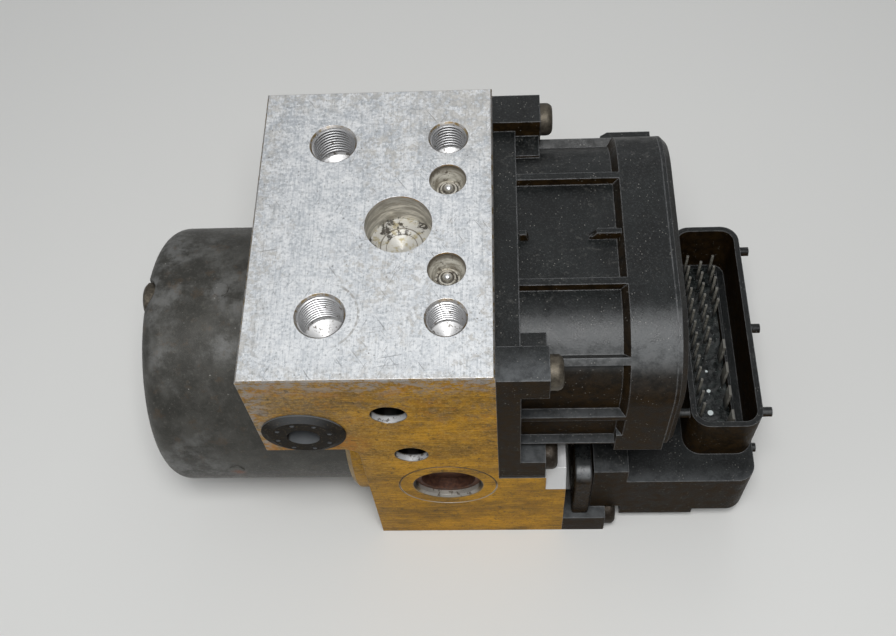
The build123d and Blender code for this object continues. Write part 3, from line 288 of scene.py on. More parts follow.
def milled_silver(f, dirt):
    """Cool silver with grey clouds, milling lines, scratches and dark pits under the dirt; painted
    light makes it brighter towards the front, and painted shade darkens the low shelf.
    """
    silver = f.mix(f.grade(f.blotch, 0.40, 0.60), TOP_DULL, TOP_PALE)
    # painted light: the top is painted brighter towards the front
    silver = f.mix(f.along("Y", 36, -36, 0.0, 0.45), silver, (0.86, 0.885, 0.90))
    silver = f.mix(f.times(f.grade(f.lines_y, 0.48, 0.64), 0.55), silver, (0.36, 0.39, 0.42))
    silver = f.mix(f.times(f.grade(f.sand, 0.52, 0.62), 0.65), silver, (0.93, 0.94, 0.94))
    silver = f.mix(f.times(f.grade(f.sand, 0.47, 0.36), 0.60), silver, (0.27, 0.29, 0.30))
    where = f.grade(f.noise(7, 3, 0.5, shift=(5, 2, 2)), 0.46, 0.56)
    for turn in (28, -35, 80):
        hairs = f.noise(0.5, 3, 0.6, stretch=(1, 22, 1), shift=(turn, 1, 2), turn=turn)
        scratch = f.times(f.grade(hairs, 0.64, 0.68), where, 0.7)
        silver = f.mix(scratch, silver, (0.20, 0.205, 0.21))
    silver = f.mix(f.times(dirt, 0.55), silver, (0.34, 0.315, 0.27))
    pits = f.times(f.grade(f.cells(1.7, stretch=(1, 1.2, 1)), 0.13, 0.05),
                   f.grade(f.noise(4, 3, 0.5, shift=(1, 9, 4)), 0.44, 0.56))
    silver = f.mix(f.times(pits, 0.85), silver, (0.12, 0.105, 0.09))
    around = (MASTER_PORT[0], -MASTER_PORT[1], BLOCK_TOP)
    scuff = f.times(f.ring(around, 8.9, 0.35), f.along("X", -24, -20), f.grade(f.fine, 0.36, 0.50))
    silver = f.mix(f.times(scuff, 0.6), silver, (0.26, 0.24, 0.21))
    # painted shade: up-facing faces below the top, such as the shelf under the coil housing, are
    # painted near-black
    shelf_painted_shade = f.along("Z", 60, 50)
    return f.mix(shelf_painted_shade, silver, (0.085, 0.08, 0.072))


def golden_patina_and_reflection(f):
    """Patina of the front and rear, its golden-brown partly a painted yellow reflection: drawn grain,
    ochre, oxide towards the top, bare worn upper edge, and a seat ring around the pump bore with
    painted light below and painted shade above.
    """
    patch = f.noise(11, 8, 0.74, stretch=(1.6, 1, 1), shift=(2, 4, 8))
    thin = f.noise(0.30, 4, 0.7, stretch=(30, 1, 1), shift=(1, 2, 3))
    gold = f.mix(f.grade(patch, 0.38, 0.62), DARK_PATINA_AND_REFLECTION, GOLD_PATINA_AND_REFLECTION)
    greyed = f.times(f.along("X", -8, -38), f.grade(f.fine, 0.36, 0.60, 0.3, 0.8))
    gold = f.mix(greyed, gold, (0.27, 0.20, 0.12))
    gold = f.mix(f.times(f.grade(f.lines_x, 0.50, 0.62), 0.50), gold, (0.15, 0.080, 0.012))
    gold = f.mix(f.times(f.grade(thin, 0.52, 0.64), 0.42), gold, (0.095, 0.052, 0.010))
    gold = f.mix(f.times(f.grade(thin, 0.47, 0.36), 0.40), gold, (0.70, 0.38, 0.03))
    ochre = f.times(f.grade(f.noise(5, 7, 0.75, shift=(7, 7, 3)), 0.50, 0.60),
                    f.along("Z", 62, 84, 0.25, 0.9))
    gold = f.mix(f.times(ochre, 0.60), gold, (0.44, 0.19, 0.015))
    oxide = f.times(f.grade(f.noise(4, 8, 0.78, shift=(3, 6, 9)), 0.50, 0.58),
                    f.along("Z", 60, 92, 0.15, 1.0))
    gold = f.mix(f.times(oxide, 0.55), gold, (0.20, 0.15, 0.095))
    glints = f.times(f.grade(f.sand, 0.52, 0.62), f.along("Z", 30, 60), 0.40)
    gold = f.mix(glints, gold, (0.56, 0.36, 0.10))
    gold = f.mix(f.times(f.grade(f.sand, 0.47, 0.36), 0.40), gold, (0.06, 0.038, 0.015))
    upper = f.most(f.along("Z", 90, 99.6), f.along("X", -36, -44.5))
    rubbing = f.noise(2.2, 7, 0.78, stretch=(1.8, 1, 1), shift=(9, 1, 3))
    worn = f.times(f.grade(rubbing, 0.46, 0.56), upper)
    gold = f.mix(f.times(worn, 0.85), gold, (0.33, 0.315, 0.30))
    spots = f.grade(f.noise(1.8, 5, 0.7, shift=(5, 5, 1)), 0.58, 0.68)
    gold = f.mix(f.times(spots, 0.7), gold, (0.06, 0.045, 0.028))
    below_mount = f.most(f.near((-40, -41.9, 63.5), 2, 7), f.near((-24, -41.9, 65), 1, 9))
    stain = f.times(below_mount, f.grade(f.noise(2.2, 5, 0.65), 0.40, 0.55))
    gold = f.mix(f.times(stain, 0.75), gold, (0.42, 0.17, 0.02))
    # painted light and shade: the seat ring is painted bright below and dark above
    staked_ring_painted_light = f.mix(f.along("Z", 33, 38), (0.72, 0.66, 0.56), (0.07, 0.045, 0.02))
    return f.mix(f.times(f.ring(STAKED_RING, STAKED_RING_RADIUS, 0.30), 0.85), gold, staked_ring_painted_light)


def brown_side(f):
    """Duller brown of the other upright faces, worn pale along the top."""
    side = f.mix(f.grade(f.blotch, 0.35, 0.7), (0.22, 0.155, 0.07), (0.36, 0.28, 0.16))
    worn = f.times(f.along("Z", 97, 99.6), f.grade(f.fine, 0.40, 0.55))
    return f.mix(worn, side, (0.42, 0.41, 0.40))


def bore_walls(f, ramp, pump, damper, stubs):
    """Machined metal of the bores and the shelf's ramps: stained walls, painted shade along the upper
    rim of the stub bores, dirt, the damper's floor.
    """
    streaks = f.noise(1.1, 5, 0.7, stretch=(5, 5, 1), shift=(4, 4, 2))
    wall = f.mix(f.grade(streaks, 0.40, 0.62), (0.36, 0.34, 0.295), (0.74, 0.71, 0.64))
    wall = f.mix(f.along("Z", 96, 99.5, 0.0, 0.6), wall, (0.22, 0.205, 0.18))
    rim = f.mix(f.grade(streaks, 0.38, 0.60), (0.30, 0.275, 0.225), (0.66, 0.64, 0.57))
    # painted shade: the upper rim of the stub bores is painted dark
    rim = f.mix(f.along("Z", 97.6, 98.9), rim, (0.16, 0.14, 0.11))
    metal = f.mix(stubs, (0.68, 0.68, 0.68), rim)
    metal = f.mix(pump, f.mix(damper, metal, wall), (0.34, 0.32, 0.285))
    flakes = f.grade(f.noise(1.7, 6, 0.75, shift=(8, 3, 1)), 0.56, 0.61)
    elsewhere = f.calc("SUBTRACT", 1, f.most(ramp, damper))
    metal = f.mix(f.times(flakes, elsewhere, 0.85), metal, (0.10, 0.08, 0.06))
    yellowed = f.grade(f.noise(2.0, 5, 0.7, shift=(3, 8, 1)), 0.50, 0.64)
    floor = f.mix(yellowed, (0.64, 0.63, 0.59), (0.44, 0.385, 0.24))
    turned = f.most(f.ring(DAMPER_FLOOR, 5.3, 0.22), f.ring(DAMPER_FLOOR, 3.9, 0.12))
    floor = f.mix(f.times(turned, 0.75), floor, (0.14, 0.12, 0.09))
    metal = f.mix(f.times(damper, f.along("Z", 90.9, 90.6)), metal, floor)
    scale = f.times(f.grade(f.noise(3.4, 7, 0.78, shift=(8, 3, 6)), 0.53, 0.55),
                    f.along("Z", 92.4, 91.0),
                    f.grade(f.ring(DAMPER_FLOOR, DAMPER_BORE[2], 5.0), 0.0, 0.2))
    return f.mix(f.times(scale, damper, 0.92), metal, (0.05, 0.042, 0.032))


def valve_block_metal():
    """The block: pale scratched top, golden-brown front and rear, bright bores, worn edges."""
    f = BlockFinish()
    top = f.towards((0, 0, 1), 0.9, 0.97)
    front = f.most(f.towards((0, -1, 0)), f.towards((0, 1, 0)))
    dirt = top_dirt(f)
    colour = f.mix(top, brown_side(f), milled_silver(f, dirt))
    colour = f.mix(front, colour, golden_patina_and_reflection(f))

    # where the machined metal of ramps, ports and drillings shows; painted light brightens the
    # up-facing walls near the mouths of the drillings, and painted shade makes the rest of them black
    ramp = f.times(f.towards((0, 0, 1), 0.2, 0.3), f.along("X", SHELF[0], SHELF[0] + 0.2),
                   f.along("Z", SHELF[1], SHELF[1] - 1))
    down = f.times(f.along("Z", BLOCK_TOP - 0.4, BLOCK_TOP - 0.6),
                   f.along("Z", TOP_BORES_END, TOP_BORES_END + 4))
    ports = f.times(f.most(*[f.bore("Z", *port) for port in TOP_BORES]), down)
    pump = f.times(f.bore("Y", *PUMP_BORE), f.depth_from_faces(0.15))
    drilled = f.times(f.most(*[f.bore("Y", *hole) for hole in CROSS_BORES]), f.depth_from_faces(0.15))
    shallow = f.times(drilled, f.calc("SUBTRACT", 1, f.depth_from_faces(1.5, 0.7)))
    # painted light: up-facing walls near the mouths of the drillings and the pump bore are painted
    # bright
    cross = f.times(f.most(shallow, pump), f.towards((0, 0, 1), 0.1, 0.5))
    bright = f.most(ramp, ports, cross)
    damper = f.times(f.bore("Z", *DAMPER_BORE), down)
    stubs = f.times(f.bore("Z", *STUB_BORE), down)
    colour = f.mix(bright, colour, bore_walls(f, ramp, pump, damper, stubs))
    # painted shade: the deeper walls of the drillings and the pump bore are painted near-black
    unlit = f.times(f.most(drilled, pump), f.calc("SUBTRACT", 1, cross))
    colour = f.mix(unlit, colour, (0.010, 0.009, 0.008))

    # painted highlight on the up-facing ledge of the seat ring around the pump bore
    painted_lit_ledge = f.times(f.ring(STAKED_RING, STAKED_RING_RADIUS + 0.15, 0.35),
                    f.towards((0, 0, 1), 0.2, 0.6))
    colour = f.mix(f.times(painted_lit_ledge, 0.85), colour, (0.74, 0.70, 0.62))
    worn_edge = f.times(f.edge_wear(0.35), f.along("Z", 96, 99, 0.12, 0.75))
    f.set("Base Color", f.mix(worn_edge, colour, (0.80, 0.80, 0.80)))
    rough = f.calc("ADD", f.grade(f.lines_y, 0.3, 0.8, 0.40, 0.56), f.times(front, 0.06))
    f.set("Roughness", rough)
    f.set("Specular IOR Level", f.grade(front, 0, 1, 0.5, 0.05))
    dull = f.most(f.times(dirt, top, 0.8), f.times(front, 0.55), f.times(top, 0.5),
                  f.times(bright, 0.55))
    f.set("Metallic", f.grade(dull, 0.0, 1.0, 0.92, 0.2))
    grain = f.calc("ADD", f.times(f.lines_y, f.grade(top, 0, 1, 0.2, 1.0)), f.times(f.lines_x, front))
    grain = f.calc("ADD", grain, f.calc("ADD", f.times(f.fine, 0.7), f.times(f.sand, 0.5)))
    f.bump(grain, 0.07, under=f.round_edges(0.25), strength=0.6)
    return f.material


def thread_crest():
    """Bright burnished crests of the port threads."""
    f = Finish("thread_crest", BURNISHED, 0.4, 1.0)
    dirt = f.grade(f.noise(1.8, 6, 0.75), 0.57, 0.63)
    f.set("Base Color", f.mix(f.times(dirt, 0.8), BURNISHED, (0.16, 0.13, 0.10)))
    f.set("Roughness", f.grade(dirt, 0, 1, 0.40, 0.7))
    f.bump(f.noise(0.4, 3, 0.6), 0.02, strength=0.5)
    return f.material


def thread_root():
    """Dark roots and flanks of the port threads: painted shade in the hollows of the thread."""
    f = Finish("thread_root", (0.20, 0.20, 0.20), 0.5, 0.3)
    cloud = f.noise(0.9, 5, 0.7)
    f.set("Base Color", f.mix(f.grade(cloud, 0.35, 0.65), (0.03, 0.03, 0.03), (0.12, 0.12, 0.115)))
    f.set("Roughness", f.grade(cloud, 0.3, 0.7, 0.4, 0.65))
    f.bump(f.noise(0.3, 3, 0.6), 0.02, strength=0.5)
    return f.material


def pot_steel():
    """Dark oxide on drawn steel, pale mottling at the closed end, coarse and brown near the block."""
    f = Finish("pot_steel", (0.05, 0.05, 0.048), 0.55, 0.35)
    cloud = f.noise(9, 8, 0.72)
    broad = f.noise(24, 4, 0.6, shift=(5, 3, 9))
    speck = f.noise(0.9, 6, 0.75)
    fine = f.noise(0.32, 3, 0.6)
    upward = f.towards((0, 0, 1), -0.2, 0.8)
    end = f.along("X", -50, -72)
    middle = f.near((-60, -12, 72), 6, 30)
    pale = f.times(f.grade(cloud, 0.40, 0.62), f.most(end, middle), f.grade(broad, 0.38, 0.56))
    colour = f.mix(f.grade(cloud, 0.35, 0.68), (0.034, 0.033, 0.028), (0.068, 0.066, 0.058))
    colour = f.mix(f.times(pale, 0.62), colour, (0.17, 0.172, 0.17))
    colour = f.mix(f.times(f.grade(speck, 0.52, 0.70), 0.40), colour, (0.15, 0.145, 0.125))
    rusty = f.times(f.grade(f.noise(4, 6, 0.72, shift=(4, 4, 4)), 0.54, 0.68), 0.45)
    colour = f.mix(rusty, colour, (0.085, 0.058, 0.035))
    low = f.times(f.along("Z", 34, 8), f.grade(speck, 0.38, 0.60, 0.4, 1.0))
    colour = f.mix(f.times(low, 0.6), colour, (0.12, 0.072, 0.045))
    chips = f.times(f.grade(f.cells(1.7), 0.12, 0.06), f.grade(speck, 0.50, 0.60))
    colour = f.mix(f.times(chips, 0.75), colour, (0.36, 0.35, 0.33))
    rust_spot = f.times(f.near((-58.5, -36, 34), 1.2, 2.8), f.grade(speck, 0.35, 0.55))
    colour = f.mix(f.times(rust_spot, 0.7), colour, (0.20, 0.085, 0.05))
    f.set("Base Color", colour)
    f.set("Roughness", f.grade(speck, 0.3, 0.7, 0.40, 0.62))
    f.set("Metallic", f.grade(pale, 0.0, 0.6, 0.30, 0.12))
    coarse = f.along("X", -54, -40)
    height = f.calc("ADD", f.times(fine, 0.4), f.times(speck, f.grade(coarse, 0, 1, 0.35, 1.1)))
    height = f.calc("ADD", height, f.times(cloud, upward, 0.3))
    f.bump(height, 0.13, under=f.round_edges(0.4), strength=0.7)
    return f.material


def moulded_black(name="moulded_black", dust=0.6, gloss=0.40):
    """Black moulded plastic with a spark texture: dusty grey looking up, with painted light towards the
    front and a painted sheen on the front shoulders; brown-black on its sides as a painted reflection;
    worn edges also painted as highlights.
    """
    f = Finish(name, (0.012, 0.012, 0.013), gloss)
    grain = f.noise(0.45, 4, 0.75)
    cloud = f.noise(9, 6, 0.68)
    worn = f.noise(2.5, 6, 0.72)
    speck = f.grade(f.cells(0.9), 0.17, 0.08)
    some = f.grade(f.noise(5, 5, 0.65, shift=(3, 7, 2)), 0.46, 0.58)
    up = f.towards((0, 0, 1), 0.1, 0.9)
    lying = f.mix(f.grade(cloud, 0.35, 0.68), (0.002, 0.0025, 0.0025), (0.007, 0.0085, 0.0085))
    lying = f.mix(f.times(f.grade(grain, 0.54, 0.61), 0.34), lying, (0.050, 0.055, 0.057))
    patches = f.grade(worn, 0.36, 0.60, 0.5, 1.0)
    # dust and painted light: up-facing faces are painted paler towards the front
    front_dust_and_light = f.times(f.along("Y", -33, -41), patches, 0.75)
    lying = f.mix(front_dust_and_light, lying, (0.090, 0.096, 0.100))
    # painted sheen on the front shoulders that face up and forward
    painted_sheen = f.times(f.along("Y", -14, -42), patches, f.towards((0, -0.5, 0.87), 0.86, 0.98), 0.80)
    lying = f.mix(painted_sheen, lying, (0.20, 0.208, 0.212))
    # painted reflection: upright faces are painted brown-black
    upright = f.mix(f.grade(worn, 0.35, 0.65), (0.009, 0.0055, 0.0022), (0.026, 0.015, 0.0055))
    colour = f.mix(up, upright, lying)
    colour = f.mix(f.times(speck, some, dust), colour, (0.36, 0.35, 0.32))
    film = f.times(f.grade(f.noise(1.1, 6, 0.72), 0.52, 0.68),
                   f.grade(f.noise(14, 4, 0.6), 0.45, 0.62), up)
    colour = f.mix(f.times(film, dust * 0.6), colour, (0.11, 0.108, 0.10))
    # edge wear and painted highlight: worn edges are painted pale
    rubbed_and_highlit_edges = f.times(f.edge_wear(0.40, 0.01, 0.16), f.grade(worn, 0.34, 0.56, 0.3, 1.0))
    colour = f.mix(f.times(rubbed_and_highlit_edges, 0.75), colour, (0.22, 0.225, 0.23))
    f.set("Base Color", colour)
    f.set("Specular IOR Level", f.grade(up, 0, 1, 0.03, 0.36))
    f.set("Roughness", f.grade(worn, 0.32, 0.68, gloss - 0.08, gloss + 0.12))
    relief = f.calc("ADD", grain, f.times(cloud, 0.5))
    f.bump(relief, 0.10, under=f.round_edges(0.3), strength=0.8)
    return f.material


def potting_black():
    """Dark sealing compound poured around the pins, with pale grit and three white rivet heads."""
    f = Finish("potting_black", (0.006, 0.006, 0.006), 0.25)
    f.set("Specular IOR Level", 0.5)
    lumps = f.noise(1.3, 5, 0.65)
    grit = f.times(f.grade(f.cells(0.9), 0.16, 0.08), f.grade(f.noise(2.4, 4, 0.6), 0.44, 0.56))
    colour = f.mix(f.grade(lumps, 0.40, 0.66), (0.005, 0.006, 0.006), (0.022, 0.027, 0.026))
    colour = f.mix(f.times(grit, 0.85), colour, (0.30, 0.33, 0.33))
    rivets = f.most(f.near((73.5, -18.6, 30.6), 0.75, 0.85), f.near((73.7, -11.8, 30.6), 0.5, 0.6),
                    f.near((73.7, -5.5, 30.6), 0.35, 0.45))
    f.set("Base Color", f.mix(rivets, colour, (0.60, 0.66, 0.66)))
    f.set("Roughness", f.grade(lumps, 0.35, 0.65, 0.16, 0.36))
    f.bump(lumps, 0.12, strength=0.6)
    return f.material


def pin_tin():
    """Dull tin on upright pins: painted light on the pale flanks, darker tops, and darker towards their
    feet.
    """
    f = Finish("pin_tin", (0.4, 0.38, 0.33), 0.36, 0.35)
    cloud = f.noise(1.1, 4, 0.6)
    # painted light: flanks are painted paler than the tops
    flank = f.mix(f.grade(cloud, 0.36, 0.64), (0.26, 0.245, 0.20), (0.52, 0.50, 0.44))
    colour = f.mix(f.towards((0, 0, 1), 0.5, 0.9), flank, (0.16, 0.155, 0.14))
    f.set("Base Color", f.mix(f.along("Z", 37, 31), colour, (0.04, 0.038, 0.034)))
    f.set("Roughness", f.grade(cloud, 0.3, 0.7, 0.28, 0.46))
    f.bump(f.noise(0.4, 3, 0.6), 0.03, under=f.round_edges(0.2), strength=0.5)
    return f.material


def crimped_stub():
    """Cream-coloured plug seat with dark rings around its collar and ball, and a bright ball."""
    f = Finish("crimped_stub", (0.62, 0.6, 0.53), 0.34, 0.55)
    flat = f.add("VectorMath", f.folded(), (1, 1, 0), operation="MULTIPLY").outputs[0]
    far = f.distance(flat, (STUB_BORE[0], STUB_BORE[1], 0))
    grooves = []
    for radius in (1.45, 2.30):
        off = f.calc("ABSOLUTE", f.calc("SUBTRACT", far, radius / 1000))
        grooves.append(f.grade(off, 0.00010, 0.00034, 1.0, 0.0))
    groove = f.most(*grooves)
    cloud = f.noise(1.4, 6, 0.7)
    colour = f.mix(f.grade(cloud, 0.36, 0.66), (0.44, 0.41, 0.34), (0.70, 0.68, 0.61))
    colour = f.mix(f.times(f.grade(f.noise(1.6, 6, 0.75, shift=(2, 5, 2)), 0.55, 0.60), 0.9), colour,
                   (0.07, 0.055, 0.04))
    colour = f.mix(f.grade(far, 0.00115, 0.00105), colour, (0.80, 0.80, 0.79))
    f.set("Base Color", f.mix(f.times(groove, 0.9), colour, (0.05, 0.042, 0.035)))
    f.set("Metallic", f.grade(far, 0.0010, 0.0013, 0.95, 0.5))
    f.set("Roughness", f.grade(cloud, 0.3, 0.7, 0.24, 0.42))
    f.bump(cloud, 0.05, strength=0.5)
    return f.material


def rubber_black():
    """Rubber: brown-black faces with brown dust, grey where it looks up from dust and painted light,
    and painted shade making it black deep in its hole.
    """
    f = Finish("rubber_black", (0.022, 0.022, 0.022), 0.55)
    cloud = f.noise(3, 5, 0.65)
    colour = f.mix(f.grade(cloud, 0.35, 0.7), (0.008, 0.0065, 0.005), (0.024, 0.019, 0.014))
    dust = f.grade(f.noise(0.8, 5, 0.7), 0.54, 0.66)
    colour = f.mix(f.times(dust, 0.6), colour, (0.10, 0.075, 0.045))
    up = f.towards((0, 0, 1), 0.15, 0.55)
    # dust and painted light: up-facing faces are painted grey
    colour = f.mix(up, colour, (0.095, 0.10, 0.105))
    # painted shade: deep in the hole it is painted near-black
    colour = f.mix(f.depth_from_faces(2.2, 1.2), colour, (0.004, 0.004, 0.004))
    f.set("Base Color", colour)
    f.set("Specular IOR Level", f.grade(up, 0, 1, 0.04, 0.2))
    f.set("Roughness", f.grade(cloud, 0.3, 0.7, 0.42, 0.65))
    f.bump(f.noise(0.4, 4, 0.6), 0.03, under=f.round_edges(0.5), strength=0.5)
    return f.material


def plain_metal(name, light, dark, roughness, size=1.5, stain=None, amount=0.0, depth=0.03,
                metallic=1.0, painted_shade_below=None):
    """Metal that drifts between two shades, with optional stains, and painted shade below a height."""
    f = Finish(name, light, roughness, metallic)
    cloud = f.noise(size, 5, 0.65)
    colour = f.mix(f.grade(cloud, 0.32, 0.7), dark, light)
    if painted_shade_below:
        # painted shade: darker below the given height
        colour = f.mix(f.along("Z", painted_shade_below + 8, painted_shade_below, 0.0, 0.88), colour, (0.020, 0.014, 0.009))
    if stain:
        spots = f.grade(f.noise(size * 0.7, 5, 0.7, shift=(2, 6, 4)), 0.48, 0.66)
        colour = f.mix(f.times(spots, amount), colour, stain)
        f.set("Metallic", f.grade(spots, 0, 1, metallic, metallic * (1 - 0.8 * amount)))
    f.set("Base Color", colour)
    f.set("Roughness", f.grade(cloud, 0.3, 0.7, roughness - 0.08, roughness + 0.12))
    f.bump(f.noise(size / 4, 4, 0.6), depth, under=f.round_edges(0.2), strength=0.6)
    return f.material


def plain_plastic(name, light, dark, roughness):
    """Inner plastic, ferrite, carbon or board that drifts between two shades."""
    f = Finish(name, light, roughness)
    size = 2.0
    cloud = f.noise(size, 5, 0.6)
    f.set("Base Color", f.mix(f.grade(cloud, 0.35, 0.7), dark, light))
    f.set("Roughness", f.grade(cloud, 0.3, 0.7, roughness - 0.07, roughness + 0.1))
    f.bump(f.noise(size / 5, 3, 0.6), 0.03, under=f.round_edges(0.2), strength=0.5)
    return f.material


def wound_wire(name, colour, dark, axis, pitch):
    """Bright wire seen as close turns along an axis."""
    f = Finish(name, colour, 0.32, 1.0)
    wave = f.add("TexWave", bands_direction=axis)
    f.feed(wave.inputs["Vector"], f.place)
    f.feed(wave.inputs["Scale"], 50 / pitch)
    f.feed(wave.inputs["Distortion"], 0.0)
    turns = wave.outputs["Fac"]
    cloud = f.noise(2, 4, 0.6)
    shade = f.mix(f.grade(turns, 0.0, 0.5), dark, colour)
    f.set("Base Color", f.mix(f.times(f.grade(cloud, 0.45, 0.7), 0.4), shade, dark))
    f.set("Roughness", f.grade(cloud, 0.3, 0.7, 0.26, 0.45))
    f.bump(turns, 0.25, strength=0.9)
    return f.material


def dress_nodes():
    """Gives every piece of the unit its finish."""
    black = moulded_black()
    glossy = moulded_black("moulded_black_gloss", dust=0.3, gloss=0.28)
    hidden = plain_plastic("inner_plastic", (0.05, 0.05, 0.052), (0.03, 0.03, 0.03), 0.5)
    rubber = rubber_black()
    ground = plain_metal("ground_steel", (0.62, 0.62, 0.63), (0.5, 0.5, 0.51), 0.24)
    rust = plain_metal("rusty_plug", (0.16, 0.075, 0.045), (0.07, 0.032, 0.022), 0.55, 1.2,
                       (0.05, 0.025, 0.018), 0.7, 0.08, 0.6)
    crimp = crimped_stub()
    zinc = plain_metal("dull_zinc", (0.135, 0.118, 0.090), (0.065, 0.055, 0.042), 0.50, 1.1,
                       (0.04, 0.032, 0.024), 0.6, 0.08, 0.75, painted_shade_below=54)
    turned = plain_metal("turned_steel", (0.58, 0.58, 0.60), (0.45, 0.45, 0.47), 0.3)
    finishes = {
        "valve_block": valve_block_metal(), "motor_pot": pot_steel(), "motor_bolts": zinc,
        "rubber_mount_front": rubber, "rubber_mount_rear": rubber, "motor_seal": rubber,
        "coil_housing_seal": rubber, "stub_plug_front": crimp, "stub_plug_rear": crimp,
        "pump_plug_front": rust, "pump_plug_rear": rust, "coil_housing_screws": zinc,
        "control_unit_screws": zinc, "coil_housing": black, "coil_housing_lid": black,
        "control_unit_housing": black, "control_unit_cover": black, "plug_cap": glossy,
        "contact_strip": hidden, "motor_lead": hidden, "brush_plate": hidden,
        "circuit_board": plain_plastic("green_board", (0.03, 0.16, 0.06), (0.02, 0.10, 0.04), 0.35),
        "connector_pins": pin_tin(),
        "armature_core": plain_metal("stamped_iron", (0.36, 0.37, 0.39), (0.22, 0.22, 0.24), 0.42),
        "armature_winding": wound_wire("enamelled_copper", (0.62, 0.27, 0.12), (0.2, 0.07, 0.03),
                                       "X", 0.8),
        "commutator": plain_metal("commutator_copper", (0.66, 0.36, 0.22), (0.42, 0.2, 0.11), 0.3),
        "rear_bush": plain_metal("sintered_bronze", (0.5, 0.36, 0.18), (0.34, 0.23, 0.11), 0.4),
        "valve_coils": wound_wire("potted_coils", (0.30, 0.16, 0.09), (0.07, 0.04, 0.025), "X", 0.7),
    }
    for side in ("front", "rear"):
        finishes["magnet_" + side] = plain_plastic("ferrite_" + side, (0.075, 0.075, 0.08),
                                                   (0.045, 0.045, 0.048), 0.55)
        finishes["brush_" + side] = plain_plastic("carbon_" + side, (0.05, 0.05, 0.05),
                                                  (0.03, 0.03, 0.03), 0.4)
        for name in ("pump_spring_", "brush_spring_"):
            finishes[name + side] = wound_wire("wire_" + name + side, (0.55, 0.55, 0.57),
                                               (0.12, 0.12, 0.13), "Y", 1.6)
    finishes["valve_springs"] = wound_wire("wire_valve_springs", (0.55, 0.55, 0.57), (0.12, 0.12, 0.13),
                                           "X", 0.9)
    for name, node in nodes.items():
        material = finishes.get(name)
        if material is None:
            is_turned = any(word in name for word in ("plunger", "accumulator", "valve"))
            material = turned if is_turned else ground
        node.data.materials.clear()
        node.data.materials.append(material)


# ---- modelling helpers ----
def clear_selection():
    bpy.ops.object.select_all(action="DESELECT")


def finish_piece(name, material):
    """Names the active object, settles its place into its mesh and lets it ride."""
    piece = bpy.context.object
    bpy.ops.object.transform_apply(location=True, rotation=True, scale=True)
    piece.name = name
    piece.data.name = name
    piece.data.materials.clear()
    piece.data.materials.append(material)
    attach(piece, BODY)
    clear_selection()
    return piece


def thread_liner(name, mouth, axis, radius, length, crest, root):
    """Cut thread inside a port: flat-topped ridges one millimetre apart, from the mouth down."""
    clearance, skin, height = 0.02, 0.03, 0.27
    ridge = ((0.12, -height), (0.34, 0.0), (0.12, height), (0.42, 0.0))  # drop and change of radius
    outer = radius - clearance
    clear_selection()
    bpy.ops.mesh.primitive_circle_add(vertices=64, radius=outer / 1000, enter_editmode=True)
    size = outer - skin
    previous = outer
    for drop, change in ridge * int(length):
        size += change
        bpy.ops.mesh.extrude_region_move(TRANSFORM_OT_translate={"value": (0, 0, -drop / 1000)})
        bpy.ops.transform.resize(value=(size / previous, size / previous, 1))
        previous = size
    bpy.ops.mesh.extrude_region_move()
    bpy.ops.transform.resize(value=(outer / previous, outer / previous, 1))
    bpy.ops.mesh.select_all(action="DESELECT")
    bpy.ops.mesh.select_mode(type="EDGE")
    bpy.ops.mesh.select_non_manifold()
    bpy.ops.mesh.bridge_edge_loops()
    bpy.ops.mesh.select_all(action="SELECT")
    bpy.ops.mesh.normals_make_consistent(inside=False)
    bpy.ops.object.mode_set(mode="OBJECT")
    piece = bpy.context.object
    crests = [face.index for face in piece.data.polygons
              if face.normal.z > -0.2 and face.center.xy.length < (outer - height / 3) / 1000]
    piece.rotation_euler = Vector(axis).to_track_quat("Z", "Y").to_euler()
    piece.location = mm(*mouth)
    bpy.ops.object.shade_smooth_by_angle(angle=radians(20))
    finish_piece(name, root)
    piece.data.materials.append(crest)
    for index in crests:
        piece.data.polygons[index].material_index = 1


def add_threads():
    """Threads of the four top ports and the two ports behind the motor."""
    crest, root = thread_crest(), thread_root()
    top_mouth, side_mouth = BLOCK_TOP - 1.0, BLOCK_LEFT + 0.8  # below the broken edges
    for side, sign in (("front", -1), ("rear", 1)):
        for name, (x, y, radius), length in (("master", MASTER_PORT, 9), ("wheel", WHEEL_PORT, 8)):
            thread_liner(f"{name}_thread_{side}", (x, sign * y, top_mouth), (0, 0, 1), radius,
                         length, crest, root)
        y, z, radius = SIDE_PORT
        thread_liner(f"side_thread_{side}", (side_mouth, sign * y, z), (-1, 0, 0), radius, 8,
                     crest, root)


def add_potting():
    """Sealing compound poured over the floor of the connector, with a lumpy skin."""
    low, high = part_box("connector_pins")
    past_x, past_y, thickness, level = 0.0015, 0.0025, 0.0012, 0.0300  # metres
    clear_selection()
    bpy.ops.mesh.primitive_grid_add(x_subdivisions=20, y_subdivisions=90, size=1, enter_editmode=True)
    bpy.ops.mesh.extrude_region_move(TRANSFORM_OT_translate={"value": (0, 0, 0.5)})
    bpy.ops.object.mode_set(mode="OBJECT")
    piece = bpy.context.object
    piece.scale = (high.x - low.x + past_x, high.y - low.y + past_y, thickness)
    piece.location = ((low.x + high.x) / 2, (low.y + high.y) / 2, level)
    bpy.ops.object.transform_apply(location=True, rotation=True, scale=True)
    lumps = bpy.data.textures.new("lumps", "CLOUDS")
    lumps.noise_scale = 0.0015
    skin = piece.modifiers.new("skin", "DISPLACE")
    skin.texture = lumps
    skin.texture_coords = "LOCAL"
    skin.direction = "Z"
    skin.mid_level = 0.5
    skin.strength = 0.0006
    bpy.ops.object.modifier_apply(modifier="skin")
    bpy.ops.object.shade_smooth_by_angle(angle=radians(60))
    finish_piece("connector_potting", potting_black())


